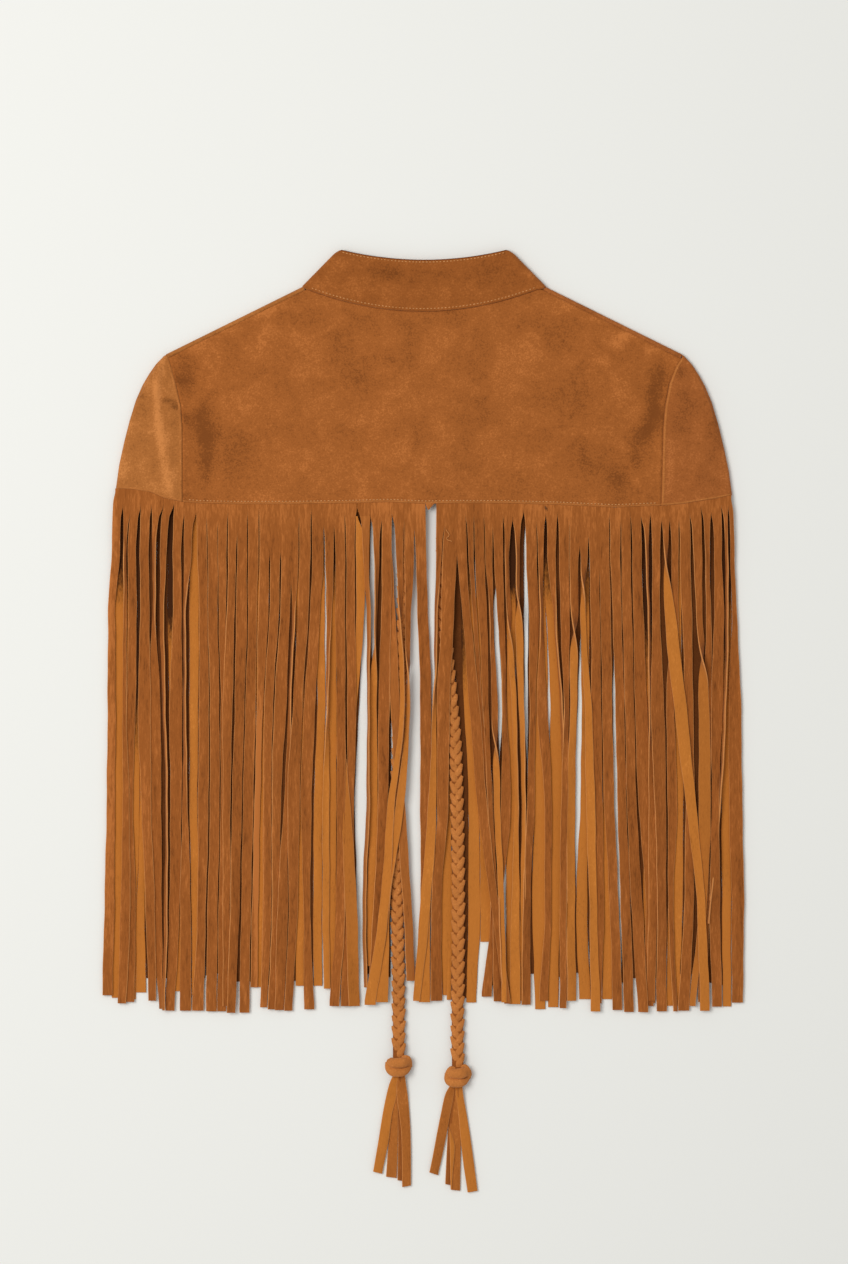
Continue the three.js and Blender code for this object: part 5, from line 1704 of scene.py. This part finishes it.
RIGHT_STRANDS = (
    Strand(((8.8, 13), (8.2, 10.2), (6.6, 9.3), (3.4, 9.3), (-2.8, 4.6),
        (-8, -3)), -370, turns=(-130,), order=3, lean=-1),
    Strand(((13.6, 24.4), (12.9, 22.6), (9.6, 19.4), (10, 18.4), (5.3, 13.1), (4.8, 13.7)), -370, order=2),
    Strand(((25, 32.3), (28.7, 35), (34, 42), (39.7, 47.2), (50.3, 56.3), (60, 65)), -372, order=4),
    Strand(((33.3, 37.3), (36.6, 40), (40, 44), (46, 52), (49.8, 53), (43, 51)), -367, order=0),
    Strand(((38, 45.3), (41, 47.5), (44, 48.7), (47.5, 51), (51, 56), (52, 58.5)), -370.5),
    Strand(((46, 51.5), (49, 52), (50.5, 55.5), (52.5, 57), (56, 60), (58.5, 62)), -371, turns=(-180,), order=2),
    Strand(((52.3, 59.3), (55, 60.5), (58.5, 62), (57.8, 65.3), (56, 59), (59, 61)), -371, order=1),
    Strand(((60.7, 64), (61.5, 65.5), (65.7, 69.2), (68, 70.5), (65.5, 71.5), (64, 72)), -372.5, turns=(-95,)),
    Strand(((68.7, 71.5), (68.3, 73.7), (71.2, 75), (73.4, 76), (72.5, 76), (70, 75)), -370, turns=(-72,), order=0),
    Strand(((76.5, 84.7), (78.5, 86.3), (79, 83.7), (77, 83), (73.8, 79.8), (73, 80)), -373),
    Strand(((85.3, 89.5), (87, 89), (84.5, 92.5), (90.1, 95.8), (90.3, 95.5), (86, 93)), -370, order=1),
    Strand(((92.6, 99), (97, 99.2), (102, 103.8), (104, 107), (103, 107), (103, 108)), -370, order=0, lean=-1),
    Strand(((101.3, 109), (102, 109.5), (104.5, 108.7), (102.5, 108), (101.5, 107), (101.5, 107)), -375.5),
    Strand(((109, 115.8), (109.5, 115.8), (109.5, 114.5), (107, 113.2), (107, 113.0),
        (107.5, 114)), -370, turns=(-95,), order=2),
    Strand(((117.3, 122.7), (117, 121), (120.5, 125.5), (121.5, 128), (124, 129.5), (125, 132)), -378, turns=(-62,)),
    Strand(((124, 131.5), (124.7, 132), (128, 133), (129, 134), (130.5, 135),
        (127, 133)), -372, order=0, tucks="..llll"),
    Strand(((131.7, 139), (132.3, 140.3), (133.5, 141.2), (135, 142.8), (139, 146.1), (141.5, 149)), -377),
    Strand(((139.7, 147.3), (141.2, 148.2), (143.3, 150.3), (144.8, 151.8), (147.3, 155), (150, 157.5)), -378.5),
    Strand(((147.8, 155), (148.6, 156), (150.5, 157.6), (152, 159.3), (155.3, 164), (160.5, 168)), -378.5),
    Strand(((156, 163.3), (156.7, 164.7), (158, 167.5), (160.5, 170.5), (166, 174), (164, 172)), -374, order=0),
    Strand(((166, 168.3), (167.5, 169.2), (168.3, 170), (168, 174), (168, 175), (166, 173)), -370, order=0),
    Strand(((170.8, 177), (171, 177.2), (169.7, 180.2), (172.5, 181.5), (174.5, 181.7), (174, 182)), -378),
    Strand(((179.3, 183), (180.4, 188.2), (187.4, 196.5), (196.0, 203.4), (204.6, 210.6),
        (207, 214)), -377.5, turns=(-43,), order=5),
    Strand(((185.3, 190.7), (185, 191), (181.5, 187.7), (182.5, 190), (183, 187), (186.5, 190)), -378),
    Strand(((191.7, 200), (193, 201), (198, 202), (196, 203), (194.8, 202.3), (190, 198.6)), -377.5, tucks="..l..."),
    Strand(((201.7, 208.5), (204, 209), (206, 213.7), (206, 214.7), (205.5, 212),
        (198.8, 202.8)), -374, turns=(-115,)),
    Strand(((210.5, 214.2), (211.3, 215.5), (209, 216), (208, 215), (207, 214), (205, 212)), -371, order=0),
    Strand(((217.5, 223.5), (217.3, 225), (215, 224), (215.5, 221.3), (213.7, 222), (216, 223.5)), -374.5),
    Strand(((225.7, 227.7), (226.3, 228), (225, 226.2), (221, 222.4), (213.3, 214.6),
        (212, 213.2)), -312, order=0, lean=-1),
    Strand(((229.5, 233), (230.7, 234.6), (228.3, 237.8), (228.5, 238.7), (230.4, 240), (230.6, 239)), -371.5),
)  # fmt: skip

# Table that shows between the strands: left and right edge at heights.
WINDOWS: tuple[tuple[tuple[float, float, float], ...], ...] = (
    ((-20, -39.3, -38.6), (-45, -39.8, -37.0), (-80, -39.6, -36.4), (-106, -39.6, -38.2)),
    ((-35, 75.2, 76.2), (-80, 75.6, 77.6), (-120, 75.8, 77.4), (-160, 76.0, 76.8)),
    ((-125, 141.4, 142.8), (-150, 141.4, 143.2), (-220, 142.9, 145.0), (-260, 144.2, 146.0), (-300, 146.3, 147.6),
        (-345, 148.6, 149.5)),
    ((-62, -43.9, -43.2), (-80, -44.6, -42.8), (-110, -45.7, -42.1), (-150, -47.9, -42.7), (-220, -51.3, -42.7),
        (-260, -50.8, -44.9), (-300, -49.3, -45.9), (-362, -48.3, -45.0)),
    ((-60, 6.0, 7.0), (-77, 3.0, 7.6), (-125, 5.0, 5.6)),
    ((-70, 52.2, 54.5), (-110, 55.1, 56.5), (-150, 55.7, 58.1), (-180, 56.0, 57.5)),
    ((-210, 49.6, 51.0), (-220, 49.4, 51.3), (-235, 49.6, 51.0)),
    ((-120, 116.5, 117.0), (-150, 115.6, 118.0), (-185, 114.4, 117.4), (-220, 113.9, 116.8), (-260, 113.3, 115.4),
        (-290, 113.0, 113.5)),
    ((-145, 93.6, 94.2), (-150, 93.1, 94.7), (-160, 93.4, 94.4)),
    ((-240, 61.5, 62.0), (-300, 59.5, 60.5)),
)  # fmt: skip

# Strands of the front fringe that show between those of the back.
FRONT_SEEN: dict[Side, dict[int, Strand]] = {
    Side.LEFT: {
        26: Strand(((-232, -224.5), (-233, -224.5), (-233, -224), (-233, -224), (-233.5, -226),
            (-234, -227)), -368, tone=Tone.SOFT),
        25: Strand(((-224.5, -216), (-224.5, -215), (-224, -214), (-224, -213), (-226, -215.2),
            (-223, -216)), -369, tone=Tone.SOFT),
        24: Strand(((-216, -208), (-215, -207.5), (-214, -207), (-213, -206.5), (-215.2, -209.3),
            (-216, -208.5)), -364, tone=Tone.SOFT),
        21: Strand(((-192, -185), (-192, -185), (-191, -184), (-190, -183), (-188, -182),
            (-188.5, -182.5)), -363, tone=Tone.SOFT),
        19: Strand(((-176, -168.5), (-176, -168.5), (-176, -169), (-176, -169.7), (-174.5, -168),
            (-174, -167)), -366),
        13: Strand(((-127, -120), (-127, -120), (-126, -119), (-125, -118), (-124.5, -118), (-126, -120)), -360),
        9: Strand(((-96, -89), (-96, -89), (-96.5, -90), (-97, -90), (-96.5, -90), (-96, -90)), -359),
        7: Strand(((-80.5, -74.5), (-80.5, -74.5), (-80, -74), (-82.6, -76), (-83, -76.5), (-83, -76.5)), -359),
        3: Strand(((-55, -47.5), (-55, -46.5), (-55.5, -48.7), (-57, -51.9), (-57.5, -50.1),
            (-58, -49.3)), -353, tone=Tone.DARK),
        2: Strand(((-43.2, -40.4), (-42.3, -40.2), (-42.1, -37), (-42.1, -36), (-45.3, -38),
            (-44.4, -38)), -350, tone=Tone.DARK),
        6: Strand(((-73.3, -66.5), (-73.3, -66), (-73.3, -65.5), (-73.3, -65.5), (-73.3, -66),
            (-73.6, -67)), -361, tone=Tone.SOFT),
    },
    Side.RIGHT: {
        0: Strand(((19.4, 28.1), (19.6, 28.1), (25, 30.3), (28.8, 33.4), (29.9, 33.2),
            (29.5, 31.7)), -368, tone=Tone.DARK),
        1: Strand(((27.8, 38), (27.4, 38), (29.8, 39.4), (33.3, 40.9), (33.1, 42.3),
            (31.7, 39)), -371.5, tone=Tone.SOFT),
        2: Strand(((39, 46), (39, 46), (39.5, 46.5), (41, 49), (42.4, 51), (42.2, 50)), -326),
        5: Strand(((62, 69), (62, 69), (62, 68.5), (62.5, 69), (61.5, 67.5), (62, 68)), -369, tone=Tone.SOFT),
        8: Strand(((84, 88.5), (84, 91.5), (83, 93.0), (82.5, 92.4), (81, 92), (83.5, 91)), -376.5, tone=Tone.SOFT),
        9: Strand(((89, 97), (91.6, 99.5), (94.7, 103.3), (92.6, 104.8), (92.2, 102),
            (93, 100.5)), -375, tone=Tone.SOFT),
        12: Strand(((117.5, 124), (117.5, 124), (118.2, 124), (117.3, 123.5), (114.0, 122.5),
            (116.4, 125)), -369, tone=Tone.SOFT),
        14: Strand(((133, 140), (133, 140), (134, 141), (134, 141), (134, 140.5), (133.5, 141)), -369),
        15: Strand(((140, 146.5), (140, 143), (141, 141.6), (141, 142.6), (140.6, 145.9),
            (141, 148.2)), -352, tone=Tone.DARK),
        18: Strand(((164, 171), (164, 171), (165, 172), (165, 172), (164.5, 171.5),
            (167, 173.5)), -372, tone=Tone.SOFT),
        21: Strand(((186, 193), (186, 193), (187, 194), (187.5, 194.5), (183, 194), (181.5, 191.5)), -374),
        26: Strand(((224, 230.5), (224, 230.5), (223.5, 230), (223, 229.8), (223.5, 230.4),
            (224, 230.3)), -374.5, tone=Tone.SOFT),
    },
}  # fmt: skip
FRONT_COUNT = 27  # strands of each front
FRONT_OUTER = {Side.LEFT: 230.6, Side.RIGHT: 229.4}  # where the outermost cut lies
FRONT_LOOSE: dict[Side, tuple[Loose, ...]] = {
    Side.LEFT: (),
    Side.RIGHT: (
        Loose(Strand(((8.5, 12.5), (8.0, 13.5), (9.0, 18.3), (9.4, 20.3), (12.0, 20.8),
            (13.8, 17)), -366, tone=Tone.SOFT), -44, (9.0, 12.0)),
        Loose(Strand(((18, 21), (18, 21), (18, 21), (18, 21.5), (18, 21.8),
            (16.9, 20.6)), -369.5, order=0), -260, (18, 21)),
    ),
}


def clear_of_windows(left: float, right: float, y: float) -> Span:
    """Moves a hidden strand's edges off the places where the table shows.

    Args:
        left: Left edge.
        right: Right edge.
        y: Height on the garment.

    Returns:
        The edges that keep clear.
    """
    for window in WINDOWS:
        rows = sorted(window)
        if not rows[0][0] <= y <= rows[-1][0]:
            continue
        low = look_up([(r[0], r[1]) for r in rows], y) - 0.5
        high = look_up([(r[0], r[2]) for r in rows], y) + 0.5
        if right <= low or left >= high:
            continue
        if (left + right) / 2 < (low + high) / 2:
            left, right = min(left, low - 5.0), low
        else:
            left, right = high, max(right, high + 5.0)
    return left, right


def front_band(side: Side) -> tuple[tuple[Strand, ...], tuple[Slit, ...]]:
    """The strands of a front's fringe and the cuts between them, from left to right.

    Args:
        side: Which front.

    Returns:
        The strands and the cuts.
    """
    sign = side.value
    rng = random.Random(40 + sign)
    wide = FRONT_OUTER[side] - FRONT_EDGE
    places = sorted(sign * (FRONT_EDGE + wide * k / FRONT_COUNT) for k in range(FRONT_COUNT + 1))
    known = [FRONT_SEEN[side].get(k) for k in range(FRONT_COUNT)][::sign]
    drifts = [rng.uniform(-1.2, 1.2) for _ in places]
    ends = [strand.end if strand else -354.0 + rng.uniform(-6.0, 5.0) for strand in known]

    def parting(k: int, level: float) -> float:
        """Where the k-th parting lies at a height, left to itself."""
        x = places[k]
        inner = abs(tie_x(side, level)) + TIE_WIDTH / 2 - 0.7
        push = max(inner - FRONT_EDGE, 0.0) * bell((abs(x) - FRONT_EDGE) / 30.0)
        return sign * (abs(x) * (1.0 - 0.018 * level / 370.0) + push) + drifts[k] * level / -370.0

    strands = []
    for k, strand in enumerate(known):
        before, after = (known[n] if 0 <= n < FRONT_COUNT else None for n in (k - 1, k + 1))
        spans = []
        for n, level in enumerate((*LEVELS, ends[k])):
            left = before.spans[n][1] if before else parting(k, level)
            right = after.spans[n][0] if after else parting(k + 1, level)
            spans.append(clear_of_windows(min(left, right - 2.5), max(right, left + 2.5), level))
        # Strands that don't show between the back ones are painted in deep shade.
        strands.append(strand or Strand(tuple(spans), ends[k], tone=Tone.DARK))
    slits = [(x, min(-4.0, hem_y(x) - 6.0)) for x in places[1:-1]]
    return tuple(strands), ((places[0], 12.0), *slits, (places[-1], 12.0))


@dataclass(frozen=True)
class CentreDetail:
    """The small lip of suede at the centre back and the loose curl of thread beside it."""

    lip_top: tuple[float, float, float] = (4.7, 3.4, 3.6)
    lip_foot: tuple[float, float, float] = (3.4, -2.2, 0.5)
    curl_line: tuple[Span, ...] = (
        (16.4, -17.0), (17.3, -18.6), (18.2, -19.6), (18.9, -21.0), (18.3, -22.4), (17.2, -22.9), (16.9, -24.0),
        (17.9, -25.0), (19.5, -25.4), (20.8, -25.9),
    )  # fmt: skip
    curl_radius: float = 0.3

    def lip(self) -> None:
        """Makes the lip that hangs from under the seam."""
        cut = Cutting()
        rows = []
        for t in (k / 8 for k in range(9)):
            x, y, half = (mix(a, b, share) for a, b, share in zip(self.lip_top, self.lip_foot, (t, t, t**1.2)))
            z = lift(x, y) + 0.15
            rows.append([(x + half * u, y + 0.2 * u, z + 0.25 * (1 - u * u)) for u in (-1, -0.5, 0, 0.5, 1)])
        cut.wall([[(x, y, z + 1.0) for x, y, z in row] for row in rows], rows, (0, 0, 1))
        cut.piece("centre_lip", [FRINGE, EDGE], Slot.FRINGE)

    def curl(self) -> None:
        """Makes the curl of thread."""
        line = [Vector((x, y, lift(x, y) + SUEDE + 0.5)) for x, y in self.curl_line]
        flat = [Vector((x, y, 0.0)) for x, y in self.curl_line]
        radius = self.curl_radius
        cut = Cutting()
        cut.tube([
            oval(point, crosswise(heading(flat, i)) * radius, Vector((0, 0, radius)), 6)
            for i, point in enumerate(line)
        ])  # fmt: skip
        cut.piece("loose_thread", [EDGE], Slot.FRINGE)


def bands() -> list[FringeBand]:
    """The four bands of fringe: the two fronts on the table, then the two lengths of the back over them.

    Returns:
        The bands, in the order in which they are laid.
    """

    def table(x: float, y: float) -> float:
        """Height of the table."""
        return 0.0

    on_table, over = Stack(table), Stack(lift)
    fronts = [
        FringeBand(
            f"front_fringe_{side.label}", f"fringe_front_{side.label}", *front_band(side), on_table, table, (),
            (0.21, 0.37), 0.0763, 5 + side.value, FRONT_LOOSE[side], inside_up=True, pressed=True, gap=0.04,
        )
        for side in Side
    ]  # fmt: skip
    return [
        *fronts,
        FringeBand(
            "back_fringe_left", "fringe_back_left", LEFT_STRANDS, LEFT_SLITS, over, lift, ("front_fringe_left",),
            (0.238, 0.377), 0.0886, 21, LEFT_LOOSE,
        ),
        FringeBand(
            "back_fringe_right", "fringe_back_right", RIGHT_STRANDS, RIGHT_SLITS, over, lift,
            ("front_fringe_right",), (0.232, 0.377), 0.0863, 22,
        ),
    ]  # fmt: skip


def main() -> None:
    """Builds the cape in order: camera, ties, panels, collar, fringe, stitches and the centre detail."""
    logging.basicConfig(level=logging.INFO, format="%(name)s: %(message)s")
    Studio().set_up()
    for side in Side:
        NeckTie(side).make()
    for side in Side:
        FrontPanel(side).make()
    SleeveCap(Side.LEFT, 0.0076).make()
    SleeveCap(Side.RIGHT, 0.0084).make()
    BackYoke().make()
    Collar().make()
    for band in bands():
        band.make()
    Stitching().make()
    CentreDetail().lip()
    CentreDetail().curl()


if __name__ == "__main__":
    main()
